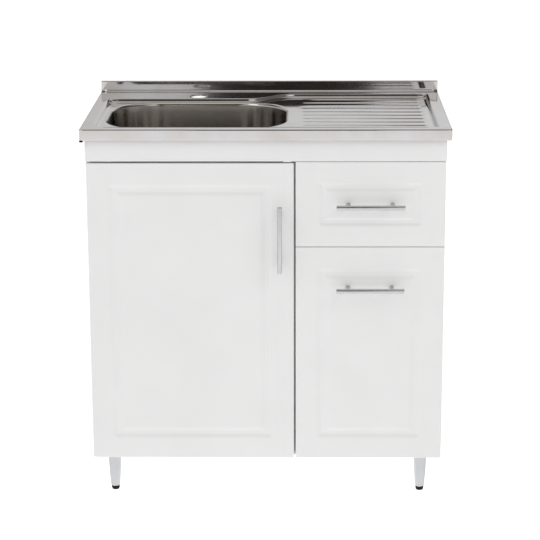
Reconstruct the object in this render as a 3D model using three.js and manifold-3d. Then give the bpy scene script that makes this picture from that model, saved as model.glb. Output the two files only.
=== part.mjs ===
// Kitchen sink unit: a pressed steel sink top on a white cabinet with a door, a drawer and a deep
// pull-out, on four legs. Millimetres, +X right, +Y back, +Z up. The origin is on the floor, under the
// middle of the outer box.

import * as THREE from 'three';
import { mergeVertices } from 'three/addons/utils/BufferGeometryUtils.js';
import Module from 'manifold-3d';

const wasm = await Module();
wasm.setup();

// ---------------------------------------------------------------- driving sizes: steel top
const topWidth = 800;
const topDepth = 500;
const rimHeight = 840;
const topCornerRadius = 5;
const topEdgeRound = 2;
const sheet = 1;
const fasciaHeight = 25;
const upstandHeight = 25;
const upstandThickness = 6;
const recessDepth = 7;
const recessSlope = 6;
const recessCornerRadius = 16;
const rimFront = 27;
const rimBack = 43;
const ledgeDepth = 109;
const ledgeCurveLength = 120;
const bowlWidth = 394;
const bowlLength = 330;
const bowlDepth = 150;
const bowlCornerRadius = 110;
const bowlDraft = 8;
const bowlEdgeRadius = 6;
const bowlFloorRadius = 28;
const bowlFromRecessLeft = 21;
const bowlFromFront = 44;
const tapHoleRadius = 17.5;
const tapHoleFromBack = 79;
const tapHoleLeftOfBowlMiddle = 9;
const ribPitch = 41.5;
const ribWidth = 16;
const ribHeight = 3.5;
const ribFromBowl = 24;
const ribFromRim = 20;
const ribFromRecessFront = 16;

// ---------------------------------------------------------------- driving sizes: waste
const wasteHoleRadius = 45;
const wasteFlangeRadius = 56;
const wasteFlangeThickness = 2.2;
const wasteCupDepth = 54;
const wasteWall = 2;
const wasteTailRadius = 21;
const wasteTailLength = 34;
const wasteClearance = 1.5;
const strainerSeatDepth = 6;
const strainerSeatWidth = 3.5;
const strainerThickness = 1.5;
const strainerClearance = 0.4;
const strainerHoleRadius = 3.2;
const strainerRings = [[6, 17], [12, 29]];
const strainerKnobRadius = 7;
const strainerKnobHeight = 13;
const gasketThickness = 2;
const locknutHeight = 10;
const locknutWall = 8;
const locknutLugs = 8;
const locknutLugDepth = 3;

// ---------------------------------------------------------------- driving sizes: cabinet
const sideOverhang = 10;
const frontOverhang = 15;
const backInset = 7;
const board = 15;
const backBoard = 3;
const backBoardHeight = 505;
const backBoardInset = 2;
const backRailHeight = 70;
const rimClearance = 2;
const hemClearance = 1;
const partitionFromBowl = 13;
const apronShow = 48;
const bufferRadius = 4.2;
const bufferHeight = 3.4;

// ---------------------------------------------------------------- driving sizes: fronts
const frontThickness = 16;
const bumperGap = 3;
const sideReveal = 1.5;
const columnGap = 4;
const rowGap = 3;
const drawerFrontHeight = 185;
const frontEdgeRound = 1.5;
const grooveMargin = 46;
const drawerGrooveMargin = 40;
const grooveWidth = 18;
const grooveFlat = 6;
const grooveDepth = 2.5;

// ---------------------------------------------------------------- driving sizes: bar handles
const barLength = 148;
const barRadius = 5;
const barChamfer = 0.8;
const barStandoff = 30;
const postRadius = 4;
const postSpacing = 96;
const doorHandleFromEdge = 30.5;
const doorHandleFromTop = 91;
const pulloutHandleFromTop = 90;

// ---------------------------------------------------------------- driving sizes: hinges
const hingeFromEnd = 95;
const hingePivotInset = 7.5;
const hingePivotDepth = 9;
const hingePinRadius = 1.5;
const hingePinLength = 18;
const hingeBoreRadius = 1.58;
const cupRadius = 17.5;
const cupDepth = 13;
const cupFromEdge = 3;
const cupFit = 0.3;
const cupWall = 1.1;
const armThickness = 3;
const armWidth = 10;
const armOffset = 10.5;
const armLength = 62;
const armKnuckle = 2.4;
const armClearance = 0.9;
const cupEarThickness = 1.2;
const cupEarLength = 56;
const cupEarWidth = 14;
const hingePlateSetback = 18;
const hingePlateLength = 36;
const hingePlateHeight = 48;

// ---------------------------------------------------------------- driving sizes: drawer boxes
const boxBoard = 12;
const boxDepth = 400;
const boxFloor = 3;
const boxFloorClearance = 5;
const drawerBoxHeight = 120;
const pulloutBoxHeight = 240;
const runnerSpace = 12.5;
const runnerSheet = 1.2;
const runnerHeight = 22;
const runnerLift = 20;
const runnerPlay = 0.4;
const runnerLip = 2;
const runnerSetback = 3;

// ---------------------------------------------------------------- driving sizes: legs
const legLength = 80;
const legTopWidth = 29;
const legBottomWidth = 21;
const legChamfer = 2.5;
const legFromSide = 45;
const legFromFront = 26;
const legFromBack = 40;
const footRadius = 9.5;
const footFlatRadius = 7.5;
const footHeight = 11;
const stemRadius = 4;
const stemLength = 20;
const stemClearance = 0.3;

// The gap left between pieces that touch.
const seat = 0.1;

// ---------------------------------------------------------------- places worked out from the sizes
const handleReach = barStandoff + barRadius;
const handleProud = Math.max(0, handleReach - frontOverhang);
const topFrontY = handleProud / 2 - topDepth / 2;
const topBackY = topFrontY + topDepth;
const topLeftX = -topWidth / 2;
const topRightX = topWidth / 2;
const fasciaBottomZ = rimHeight - fasciaHeight;
const recessZ = rimHeight - recessDepth;

const cabinetLeftX = topLeftX + sideOverhang;
const cabinetRightX = topRightX - sideOverhang;
const frontFaceY = topFrontY + frontOverhang;
const frontBackY = frontFaceY + frontThickness;
const carcassFrontY = frontBackY + bumperGap;
const carcassBackY = topBackY - backInset - backBoard;
const carcassBottomZ = footHeight + legLength;
const insideLeftX = cabinetLeftX + board;
const insideRightX = cabinetRightX - board;
const insideBottomZ = carcassBottomZ + board;
const underRecessZ = recessZ - sheet - seat;

const recessLeftX = insideLeftX + rimClearance;
const recessRightX = insideRightX - rimClearance;
const recessFrontY = topFrontY + rimFront;
const bowlX = recessLeftX + bowlFromRecessLeft + bowlWidth / 2;
const bowlY = topFrontY + bowlFromFront + bowlLength / 2;
const bowlRightX = bowlX + bowlWidth / 2;
const bowlFloorZ = rimHeight - bowlDepth;
const tapHoleX = bowlX - tapHoleLeftOfBowlMiddle;
const tapHoleY = topBackY - tapHoleFromBack;

const partitionX = bowlRightX + partitionFromBowl + board / 2;
const partitionLeftX = partitionX - board / 2;
const partitionRightX = partitionX + board / 2;

const apronBottomZ = fasciaBottomZ - apronShow;
const frontsTopZ = apronBottomZ - rowGap;
const frontsBottomZ = carcassBottomZ;
const drawerFrontBottomZ = frontsTopZ - drawerFrontHeight;
const pulloutTopZ = drawerFrontBottomZ - rowGap;
const doorLeftX = cabinetLeftX + sideReveal;
const doorRightX = partitionX - columnGap / 2;
const columnLeftX = partitionX + columnGap / 2;
const columnRightX = cabinetRightX - sideReveal;
const columnX = (columnLeftX + columnRightX) / 2;

const pivotX = doorLeftX + hingePivotInset;
const pivotY = frontBackY - hingePivotDepth;
const hingeHeights = [frontsBottomZ + hingeFromEnd, frontsTopZ - hingeFromEnd];

// ---------------------------------------------------------------- materials
function material(color, roughness, metalness) {
  return new THREE.MeshStandardMaterial({ color, roughness, metalness });
}

const steel = material(0xc9c7c3, 0.18, 1);
const brushedSteel = material(0xb9b8b5, 0.32, 1);
const zincSteel = material(0xa9abad, 0.4, 1);
const foil = material(0xf2f2f1, 0.45, 0);
const melamine = material(0xefefed, 0.6, 0);
const hardboard = material(0xe4e2dd, 0.8, 0);
const legPlastic = material(0xd2d3d4, 0.45, 0);
const blackRubber = material(0x161617, 0.75, 0);
const greyRubber = material(0x3a3a3b, 0.8, 0);
const runnerPaint = material(0xe6e7e6, 0.4, 0.1);

// ---------------------------------------------------------------- geometry helpers

// A copy of a closed geometry with shared corners and its faces pointing out.
function closed(geometry) {
  const bare = geometry.clone();
  bare.deleteAttribute('normal');
  bare.deleteAttribute('uv');
  const merged = mergeVertices(bare, 1e-4);
  const position = merged.attributes.position;
  const index = merged.index.array;
  const corner = [new THREE.Vector3(), new THREE.Vector3(), new THREE.Vector3()];
  let volume = 0;
  for (let i = 0; i < index.length; i += 3) {
    corner.forEach((point, side) => point.fromBufferAttribute(position, index[i + side]));
    volume += corner[0].dot(corner[1].cross(corner[2]));
  }
  if (volume < 0) {
    index.reverse();
  }
  return merged;
}

// A closed geometry as a solid that can be joined and cut.
function solid(geometry) {
  const shell = closed(geometry);
  const vertProperties = new Float32Array(shell.attributes.position.array);
  const triVerts = new Uint32Array(shell.index.array);
  return new wasm.Manifold(new wasm.Mesh({ numProp: 3, vertProperties, triVerts }));
}

// The geometry of a joined or cut solid.
function shapeOf(body) {
  const mesh = body.getMesh();
  const geometry = new THREE.BufferGeometry();
  geometry.setAttribute('position', new THREE.BufferAttribute(mesh.vertProperties, 3));
  geometry.setIndex(new THREE.BufferAttribute(mesh.triVerts, 1));
  geometry.computeVertexNormals();
  return geometry;
}

// The points of a closed plan outline, without a repeated last point.
function outlinePoints(path, divisions) {
  const points = path.getPoints(divisions);
  const last = points[points.length - 1];
  return last.distanceTo(points[0]) < 1e-6 ? points.slice(0, -1) : points;
}

// A closed solid through plan outlines of equal point count, each at its own height.
function loft(rings) {
  const count = rings[0].outline.length;
  const position = rings.flatMap(({ outline, z }) => outline.flatMap((p) => [p.x, p.y, z]));
  const index = [];
  for (let ring = 0; ring < rings.length - 1; ring += 1) {
    for (let i = 0; i < count; i += 1) {
      const a = ring * count + i;
      const b = ring * count + ((i + 1) % count);
      index.push(a, b, b + count, a, b + count, a + count);
    }
  }
  const top = (rings.length - 1) * count;
  const bottomCap = THREE.ShapeUtils.triangulateShape(rings[0].outline, []);
  const topCap = THREE.ShapeUtils.triangulateShape(rings[rings.length - 1].outline, []);
  bottomCap.forEach(([a, b, c]) => index.push(c, b, a));
  topCap.forEach(([a, b, c]) => index.push(top + a, top + b, top + c));
  const geometry = new THREE.BufferGeometry();
  geometry.setAttribute('position', new THREE.Float32BufferAttribute(position, 3));
  geometry.setIndex(index);
  return geometry;
}

// The plan outline of a rectangle with round corners.
function roundedRectangle(width, depth, radius, x, y, divisions) {
  const path = new THREE.Path();
  const halfX = width / 2 - radius;
  const halfY = depth / 2 - radius;
  path.absarc(x + halfX, y - halfY, radius, -Math.PI / 2, 0, false);
  path.absarc(x + halfX, y + halfY, radius, 0, Math.PI / 2, false);
  path.absarc(x - halfX, y + halfY, radius, Math.PI / 2, Math.PI, false);
  path.absarc(x - halfX, y - halfY, radius, Math.PI, 1.5 * Math.PI, false);
  return outlinePoints(path, divisions);
}

// A box between two corners.
function boxBetween([x0, y0, z0], [x1, y1, z1]) {
  const box = new THREE.BoxGeometry(x1 - x0, y1 - y0, z1 - z0);
  return box.translate((x0 + x1) / 2, (y0 + y1) / 2, (z0 + z1) / 2);
}

// A round bar along +Z, from z0 to z1.
function roundBar(radius, z0, z1, sides) {
  const bar = new THREE.CylinderGeometry(radius, radius, z1 - z0, sides);
  return bar.rotateX(Math.PI / 2).translate(0, 0, (z0 + z1) / 2);
}

// A turned solid about Z from a profile of [radius, height] pairs.
function turned(profile, sides) {
  const points = profile.map(([radius, height]) => new THREE.Vector2(radius, height));
  return closed(new THREE.LatheGeometry(points, sides).rotateX(Math.PI / 2));
}

// A flat outline of [x, y] pairs, extruded to the given depth along +Z.
function extruded(corners, depth, hole) {
  const shape = new THREE.Shape(corners.map(([x, y]) => new THREE.Vector2(x, y)));
  if (hole) {
    shape.holes.push(hole);
  }
  return new THREE.ExtrudeGeometry(shape, { depth, bevelEnabled: false, curveSegments: 16 });
}

// A named piece, set in its group.
function add(group, name, geometry, finish, x = 0, y = 0, z = 0) {
  const mesh = new THREE.Mesh(closed(geometry), finish);
  mesh.name = name;
  mesh.position.set(x, y, z);
  group.add(mesh);
  return mesh;
}

// A named board between two corners, placed at its own middle.
function addBoard(group, name, finish, low, high) {
  const size = high.map((value, axis) => value - low[axis]);
  const middle = high.map((value, axis) => (value + low[axis]) / 2);
  return add(group, name, new THREE.BoxGeometry(...size), finish, ...middle);
}

// ---------------------------------------------------------------- steel top

// The recess in the deck: straight at the front and sides, and its back edge runs round the tap ledge
// in an S from behind the bowl to the deeper drainer.
function recessOutline(inset) {
  const left = recessLeftX + inset;
  const right = recessRightX - inset;
  const front = recessFrontY + inset;
  const ledgeFront = topBackY - ledgeDepth - inset;
  const drainerBack = topBackY - rimBack - inset;
  const radius = recessCornerRadius;
  const curveEnd = bowlRightX + ribFromBowl;
  const curveStart = curveEnd - ledgeCurveLength;
  const curveMiddle = (curveStart + curveEnd) / 2;
  const path = new THREE.Path();
  path.moveTo(left + radius, front);
  path.lineTo(right - radius, front);
  path.quadraticCurveTo(right, front, right, front + radius);
  path.lineTo(right, drainerBack - radius);
  path.quadraticCurveTo(right, drainerBack, right - radius, drainerBack);
  path.lineTo(curveEnd, drainerBack);
  path.bezierCurveTo(curveMiddle, drainerBack, curveMiddle, ledgeFront, curveStart, ledgeFront);
  path.lineTo(left + radius, ledgeFront);
  path.quadraticCurveTo(left, ledgeFront, left, ledgeFront - radius);
  path.lineTo(left, front + radius);
  path.quadraticCurveTo(left, front, left + radius, front);
  return outlinePoints(path, 8);
}

function bowlOutline(inset) {
  const radius = bowlCornerRadius - inset;
  return roundedRectangle(bowlWidth - 2 * inset, bowlLength - 2 * inset, radius, bowlX, bowlY, 9);
}

// The bowl from its rolled edge down its drafted wall, round its floor radius to its flat floor.
// A skin of zero is the inner face, and a skin of one sheet is the outer face.
function bowlSolid(skin) {
  const edge = bowlEdgeRadius;
  const rings = [];
  const floorSteps = 4;
  for (let step = floorSteps; step >= 0; step -= 1) {
    const angle = (step / floorSteps) * (Math.PI / 2);
    const inset = bowlDraft + bowlFloorRadius * (1 - Math.cos(angle)) - skin;
    const z = bowlFloorZ + bowlFloorRadius * (1 - Math.sin(angle)) - skin;
    rings.push({ outline: bowlOutline(inset), z });
  }
  rings.push({ outline: bowlOutline(-skin), z: recessZ - edge - skin });
  rings.push({ outline: bowlOutline(-edge * 0.3 - skin), z: recessZ - edge * 0.3 - skin });
  rings.push({ outline: bowlOutline(-edge - skin), z: recessZ - skin });
  if (skin === 0) {
    rings.push({ outline: bowlOutline(-edge), z: recessZ + sheet });
  }
  return solid(loft(rings));
}

// The rim with its fascia, open below, with the hem folded in at the front and sides only.
function pan() {
  const middleY = (topFrontY + topBackY) / 2;
  const plan = (inset) => {
    const radius = Math.max(topCornerRadius - inset, 1);
    return roundedRectangle(topWidth - 2 * inset, topDepth - 2 * inset, radius, 0, middleY, 4);
  };
  const blank = solid(loft([
    { outline: plan(0), z: fasciaBottomZ },
    { outline: plan(0), z: rimHeight - topEdgeRound },
    { outline: plan(topEdgeRound * 0.3), z: rimHeight - topEdgeRound * 0.3 },
    { outline: plan(topEdgeRound), z: rimHeight },
  ]));
  const under = solid(loft([
    { outline: plan(sheet), z: fasciaBottomZ + sheet },
    { outline: plan(sheet), z: rimHeight - sheet },
  ]));
  const hem = sideOverhang - hemClearance;
  const mouth = solid(boxBetween(
    [topLeftX + hem, topFrontY + hem, fasciaBottomZ - sheet],
    [topRightX - hem, topBackY - 2 * sheet, fasciaBottomZ + 2 * sheet],
  ));
  const rear = solid(boxBetween(
    [topLeftX + sheet, topBackY - 3 * sheet, fasciaBottomZ - sheet],
    [topRightX - sheet, topBackY + sheet, rimHeight - sheet],
  ));
  return blank.subtract(under).subtract(mouth).subtract(rear);
}

function recessSolid(skin) {
  const rings = [
    { outline: recessOutline(recessSlope - skin), z: recessZ - skin },
    { outline: recessOutline(-skin), z: rimHeight - skin },
  ];
  if (skin === 0) {
    rings.push({ outline: recessOutline(0), z: rimHeight + sheet });
  }
  return solid(loft(rings));
}

// One drainer rib: a low rounded bead along X.
function drainerRib(x0, x1, y) {
  const half = ribWidth / 2;
  const steps = 6;
  const corners = [];
  for (let step = 0; step <= steps; step += 1) {
    const angle = (step / steps) * Math.PI;
    corners.push([y + half * Math.cos(angle), recessZ + ribHeight * Math.sin(angle)]);
  }
  corners.push([y - half, recessZ - sheet / 2]);
  corners.push([y + half, recessZ - sheet / 2]);
  const bead = extruded(corners, x1 - x0);
  const turn = new THREE.Matrix4().makeBasis(
    new THREE.Vector3(0, 1, 0),
    new THREE.Vector3(0, 0, 1),
    new THREE.Vector3(1, 0, 0),
  );
  return solid(bead.applyMatrix4(turn).translate(x0, 0, 0));
}

function sinkTop() {
  const upstand = solid(boxBetween(
    [topLeftX, topBackY - upstandThickness, rimHeight - sheet],
    [topRightX, topBackY, rimHeight + upstandHeight],
  ));
  const wasteHole = solid(roundBar(wasteHoleRadius, bowlFloorZ - 3 * sheet, bowlFloorZ + sheet, 40));
  const tapHole = solid(roundBar(tapHoleRadius, rimHeight - 3 * sheet, rimHeight + sheet, 32));
  const skins = pan().add(recessSolid(sheet)).add(bowlSolid(sheet)).add(upstand);
  let top = skins.subtract(recessSolid(0)).subtract(bowlSolid(0));
  top = top.subtract(wasteHole.translate([bowlX, bowlY, 0]));
  top = top.subtract(tapHole.translate([tapHoleX, tapHoleY, 0]));
  const ribStart = recessFrontY + recessSlope + ribFromRecessFront - ribWidth / 2;
  const ribEnd = topBackY - rimBack - recessSlope - ribWidth / 2;
  for (let y = ribStart; y <= ribEnd; y += ribPitch) {
    top = top.add(drainerRib(bowlRightX + ribFromBowl, recessRightX - ribFromRim, y));
  }
  return shapeOf(top);
}

// ---------------------------------------------------------------- waste, all turned about the bowl's middle

function addWaste(group, lidGroup) {
  const cupRadiusOuter = wasteHoleRadius - wasteClearance;
  const bore = cupRadiusOuter - wasteWall;
  const tailBore = wasteTailRadius - wasteWall;
  const flangeTop = bowlFloorZ + seat + wasteFlangeThickness;
  const cupBottom = bowlFloorZ - wasteCupDepth;
  const tailBottom = cupBottom - wasteTailLength;
  const seatZ = bowlFloorZ - strainerSeatDepth;
  const seatRadius = bore - strainerSeatWidth;
  const body = [
    [wasteFlangeRadius, flangeTop - wasteFlangeThickness],
    [wasteFlangeRadius, flangeTop - wasteFlangeThickness / 2],
    [wasteFlangeRadius - 2, flangeTop],
    [bore + 3, flangeTop],
    [bore, flangeTop - 3],
    [bore, seatZ],
    [seatRadius, seatZ],
    [seatRadius, seatZ - wasteWall],
    [bore, seatZ - 2 * wasteWall],
    [bore, cupBottom + 3 * wasteWall],
    [tailBore, cupBottom],
    [tailBore, tailBottom],
    [wasteTailRadius, tailBottom],
    [wasteTailRadius, cupBottom - wasteWall],
    [cupRadiusOuter, cupBottom + 2 * wasteWall],
    [cupRadiusOuter, flangeTop - wasteFlangeThickness],
    [wasteFlangeRadius, flangeTop - wasteFlangeThickness],
  ];
  add(group, 'waste_body', turned(body, 36), steel, bowlX, bowlY);

  const gasketTop = bowlFloorZ - sheet - seat;
  const gasketBottom = gasketTop - gasketThickness;
  const innerRadius = wasteHoleRadius - wasteClearance / 2;
  const gasketRadius = innerRadius + locknutWall + locknutLugDepth - 1;
  const gasket = [
    [innerRadius, gasketBottom],
    [gasketRadius, gasketBottom],
    [gasketRadius, gasketTop],
    [innerRadius, gasketTop],
    [innerRadius, gasketBottom],
  ];
  add(group, 'waste_gasket', turned(gasket, 32), greyRubber, bowlX, bowlY);

  const locknutSides = locknutLugs * 6;
  const lugs = [];
  for (let i = 0; i < locknutSides; i += 1) {
    const angle = (i / locknutSides) * 2 * Math.PI;
    const proud = i % 6 < 3 ? locknutLugDepth : 0;
    const radius = innerRadius + locknutWall + proud;
    lugs.push([radius * Math.cos(angle), radius * Math.sin(angle)]);
  }
  const hole = new THREE.Path().absarc(0, 0, innerRadius, 0, 2 * Math.PI, true);
  const locknut = extruded(lugs, locknutHeight, hole);
  const locknutZ = gasketBottom - seat - locknutHeight;
  add(group, 'waste_locknut', locknut, greyRubber, bowlX, bowlY, locknutZ);

  const plateRadius = bore - strainerClearance;
  const plateBottom = seatZ + seat;
  const plateTop = plateBottom + strainerThickness;
  const knobTop = plateTop + strainerKnobHeight;
  let strainer = solid(turned([
    [0, plateBottom],
    [plateRadius, plateBottom],
    [plateRadius, plateTop],
    [strainerKnobRadius * 0.55, plateTop],
    [strainerKnobRadius * 0.45, plateTop + strainerKnobHeight * 0.5],
    [strainerKnobRadius, plateTop + strainerKnobHeight * 0.7],
    [strainerKnobRadius * 0.9, knobTop - 1],
    [0, knobTop],
  ], 32));
  strainerRings.forEach(([count, ringRadius]) => {
    for (let i = 0; i < count; i += 1) {
      const angle = (i / count) * 2 * Math.PI;
      const punch = solid(roundBar(strainerHoleRadius, plateBottom - 1, plateTop + 1, 10));
      strainer = strainer.subtract(punch.translate([
        ringRadius * Math.cos(angle),
        ringRadius * Math.sin(angle),
        0,
      ]));
    }
  });
  add(lidGroup, 'strainer_plate', shapeOf(strainer), steel, bowlX, bowlY);
}

// ---------------------------------------------------------------- cabinet carcass

function addCarcass(group) {
  const panelTop = rimHeight - sheet - seat;
  const panelBottom = carcassBottomZ + seat;
  addBoard(group, 'side_panel_left', melamine,
    [cabinetLeftX, carcassFrontY, panelBottom], [insideLeftX, carcassBackY, panelTop]);
  addBoard(group, 'side_panel_right', melamine,
    [insideRightX, carcassFrontY, panelBottom], [cabinetRightX, carcassBackY, panelTop]);
  addBoard(group, 'bottom_panel', melamine,
    [insideLeftX + seat, carcassFrontY, panelBottom],
    [insideRightX - seat, carcassBackY, insideBottomZ]);

  const railFrontY = carcassBackY - board;
  const railBottomZ = fasciaBottomZ - backRailHeight;
  addBoard(group, 'back_rail', melamine,
    [insideLeftX + seat, railFrontY, railBottomZ],
    [insideRightX - seat, carcassBackY, fasciaBottomZ]);

  // The partition is notched round the back rail. Its outline is drawn in Y and Z.
  const partition = extruded([
    [carcassFrontY, insideBottomZ + seat],
    [carcassBackY, insideBottomZ + seat],
    [carcassBackY, railBottomZ - seat],
    [railFrontY - seat, railBottomZ - seat],
    [railFrontY - seat, underRecessZ],
    [carcassFrontY, underRecessZ],
  ], board);
  const upright = new THREE.Matrix4().makeBasis(
    new THREE.Vector3(0, 1, 0),
    new THREE.Vector3(0, 0, 1),
    new THREE.Vector3(1, 0, 0),
  );
  add(group, 'center_partition', partition.applyMatrix4(upright), melamine, partitionLeftX);

  addBoard(group, 'apron_rail', foil,
    [cabinetLeftX, frontFaceY, apronBottomZ], [cabinetRightX, carcassFrontY - seat, underRecessZ]);
  addBoard(group, 'back_panel', hardboard,
    [cabinetLeftX + backBoardInset, carcassBackY + seat, panelBottom + backBoardInset],
    [cabinetRightX - backBoardInset, carcassBackY + seat + backBoard, panelBottom + backBoardHeight]);

  const bufferTop = fasciaBottomZ - seat;
  const buffer = roundBar(bufferRadius, bufferTop - bufferHeight, bufferTop, 20);
  add(group, 'corner_buffer', buffer, blackRubber, topLeftX + bufferRadius, topFrontY + bufferRadius);
}

// ---------------------------------------------------------------- legs

function legSection(width) {
  return roundedRectangle(width, width, legChamfer, 0, 0, 2);
}

function legGeometry() {
  const tapered = solid(loft([
    { outline: legSection(legBottomWidth), z: footHeight },
    { outline: legSection(legTopWidth), z: carcassBottomZ - legChamfer },
    { outline: legSection(legTopWidth), z: carcassBottomZ },
  ]));
  const boreTop = footHeight + stemLength + stemClearance;
  const bore = solid(roundBar(stemRadius + stemClearance, footHeight - 1, boreTop, 20));
  return shapeOf(tapered.subtract(bore));
}

function footGeometry() {
  const padTop = footHeight - stemClearance;
  return turned([
    [0, 0],
    [footFlatRadius, 0],
    [footRadius - 0.4, footHeight * 0.15],
    [footRadius, footHeight * 0.36],
    [footRadius - 0.6, footHeight * 0.7],
    [footFlatRadius, padTop],
    [stemRadius, padTop],
    [stemRadius, footHeight + stemLength],
    [0, footHeight + stemLength],
  ], 28);
}

function addLegs(group) {
  const rows = [['front', carcassFrontY + legFromFront], ['rear', carcassBackY - legFromBack]];
  const columns = [['left', cabinetLeftX + legFromSide], ['right', cabinetRightX - legFromSide]];
  rows.forEach(([row, y]) => {
    columns.forEach(([column, x]) => {
      add(group, `leg_${row}_${column}`, legGeometry(), legPlastic, x, y);
      add(group, `foot_${row}_${column}`, footGeometry(), blackRubber, x, y);
    });
  });
}

// ---------------------------------------------------------------- fronts

// A routed front lying flat: X is its width, Y its height, and its face looks along +Z.
function routedFront(width, height, marginX, marginY) {
  const half = [width / 2, height / 2];
  const sheetPlan = (inset) => roundedRectangle(
    width - 2 * inset, height - 2 * inset, frontEdgeRound, ...half, 2);
  const groovePlan = (inset) => roundedRectangle(
    width - 2 * (marginX + inset), height - 2 * (marginY + inset), frontEdgeRound, ...half, 2);
  const slope = (grooveWidth - grooveFlat) / 2;
  const face = frontThickness;
  const floor = face - grooveDepth;
  const blank = solid(loft([
    { outline: sheetPlan(0), z: 0 },
    { outline: sheetPlan(0), z: face - frontEdgeRound },
    { outline: sheetPlan(frontEdgeRound * 0.3), z: face - frontEdgeRound * 0.3 },
    { outline: sheetPlan(frontEdgeRound), z: face },
  ]));
  const cut = solid(loft([
    { outline: groovePlan(slope), z: floor },
    { outline: groovePlan(0), z: face },
    { outline: groovePlan(0), z: face + 1 },
  ]));
  const core = solid(loft([
    { outline: groovePlan(grooveWidth - slope), z: floor - 1 },
    { outline: groovePlan(grooveWidth - slope), z: floor },
    { outline: groovePlan(grooveWidth), z: face },
    { outline: groovePlan(grooveWidth), z: face + 2 },
  ]));
  return blank.subtract(cut.subtract(core));
}

// Stands a flat front up, so that its face looks along -Y with its back at y = 0.
function stood(geometry) {
  return geometry.rotateX(Math.PI / 2);
}

// A bar handle on two posts. The bar runs along X, or along Z when upright.
function addHandle(group, name, x, z, upright) {
  const barY = frontFaceY - barStandoff;
  const half = barLength / 2;
  const bar = turned([
    [0, -half],
    [barRadius - barChamfer, -half],
    [barRadius, barChamfer - half],
    [barRadius, half - barChamfer],
    [barRadius - barChamfer, half],
    [0, half],
  ], 24);
  const saddle = roundBar(barRadius + stemClearance, -half, half, 24);
  if (!upright) {
    bar.rotateY(Math.PI / 2);
    saddle.rotateY(Math.PI / 2);
  }
  add(group, `${name}_bar`, bar, brushedSteel, x, barY, z);
  const blank = solid(roundBar(postRadius, seat, barStandoff, 20).rotateX(Math.PI / 2));
  const post = blank.subtract(solid(saddle).translate([0, -barStandoff, 0]));
  [-1, 1].forEach((side, end) => {
    const along = (side * postSpacing) / 2;
    const postX = upright ? x : x + along;
    const postZ = upright ? z + along : z;
    add(group, `${name}_post_${end + 1}`, shapeOf(post), brushedSteel, postX, frontFaceY, postZ);
  });
}

// ---------------------------------------------------------------- door and its hinges

// The cup of one hinge about its pivot: a round block in the door's back with a pocket for the arm,
// bored for the pin, and an ear on each side along the door's height.
function hingeCup() {
  const cupX = cupFromEdge + cupRadius - hingePivotInset;
  const lay = (geometry) => geometry.rotateX(-Math.PI / 2);
  const backY = hingePivotDepth;
  const block = solid(lay(roundBar(cupRadius, backY - cupDepth, backY, 40)).translate(cupX, 0, 0));
  const earLeft = armOffset + armThickness + armClearance + 1;
  const ear = solid(boxBetween(
    [earLeft, backY - sheet, -cupEarLength / 2],
    [earLeft + cupEarWidth, backY + cupEarThickness, cupEarLength / 2],
  ));
  const cupTop = solid(boxBetween(
    [earLeft, backY - cupDepth / 2, -cupEarLength / 2 - 1],
    [earLeft + cupEarWidth, backY, cupEarLength / 2 + 1],
  ));
  const reach = armWidth / 2 + armClearance;
  const pocket = solid(boxBetween(
    [cupX - cupRadius + cupWall + 0.7, -armKnuckle - 0.5, -reach],
    [armOffset + armThickness + armClearance, backY + cupEarThickness + 1, reach],
  ));
  const pinBore = solid(roundBar(hingeBoreRadius, -hingePinLength / 2 - seat, hingePinLength / 2 + seat, 24));
  const ears = ear.subtract(cupTop);
  return shapeOf(block.add(ears).subtract(pocket).subtract(pinBore));
}

// The arm of one hinge about its pivot: a knuckle on the pin, a crank to the right inside the cup, and
// a strip back along the cabinet side, on top of the mounting plate.
function hingeArm() {
  const half = armThickness / 2;
  const right = armOffset + armThickness;
  const knuckleTurn = Math.asin(half / armKnuckle);
  const shape = new THREE.Shape();
  shape.absarc(0, 0, armKnuckle, knuckleTurn, 2 * Math.PI - knuckleTurn, false);
  shape.lineTo(right, -half);
  shape.lineTo(right, armLength);
  shape.lineTo(armOffset, armLength);
  shape.lineTo(armOffset, half);
  shape.closePath();
  shape.holes.push(new THREE.Path().absarc(0, 0, hingeBoreRadius, 0, 2 * Math.PI, true));
  const arm = new THREE.ExtrudeGeometry(shape, { depth: armWidth, bevelEnabled: false, curveSegments: 24 });
  return arm.translate(0, 0, -armWidth / 2);
}

function addHinges(cabinetGroup, doorGroup) {
  hingeHeights.forEach((z, level) => {
    const place = level === 0 ? 'lower' : 'upper';
    add(doorGroup, `hinge_cup_${place}`, hingeCup(), zincSteel, pivotX, pivotY, z);
    const pin = roundBar(hingePinRadius, -hingePinLength / 2, hingePinLength / 2, 24);
    add(doorGroup, `hinge_pin_${place}`, pin, zincSteel, pivotX, pivotY, z);
    add(cabinetGroup, `hinge_arm_${place}`, hingeArm(), zincSteel, pivotX, pivotY, z);
    addBoard(cabinetGroup, `hinge_plate_${place}`, zincSteel,
      [insideLeftX + seat, carcassFrontY + hingePlateSetback, z - hingePlateHeight / 2],
      [pivotX + armOffset - seat, carcassFrontY + hingePlateSetback + hingePlateLength,
        z + hingePlateHeight / 2]);
  });
}

function addDoor(cabinetGroup, doorGroup) {
  const width = doorRightX - doorLeftX;
  const height = frontsTopZ - frontsBottomZ;
  let door = routedFront(width, height, grooveMargin, grooveMargin);
  hingeHeights.forEach((z) => {
    const pocket = solid(roundBar(cupRadius + cupFit, -1, cupDepth + cupFit, 40));
    door = door.subtract(pocket.translate([cupFromEdge + cupRadius, z - frontsBottomZ, 0]));
  });
  add(doorGroup, 'door_left', stood(shapeOf(door)), foil, doorLeftX, frontBackY, frontsBottomZ);
  const handleX = doorRightX - doorHandleFromEdge;
  const handleZ = frontsTopZ - doorHandleFromTop - barLength / 2;
  addHandle(doorGroup, 'door_handle', handleX, handleZ, true);
  addHinges(cabinetGroup, doorGroup);
}

// ---------------------------------------------------------------- drawer and pull-out

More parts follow.
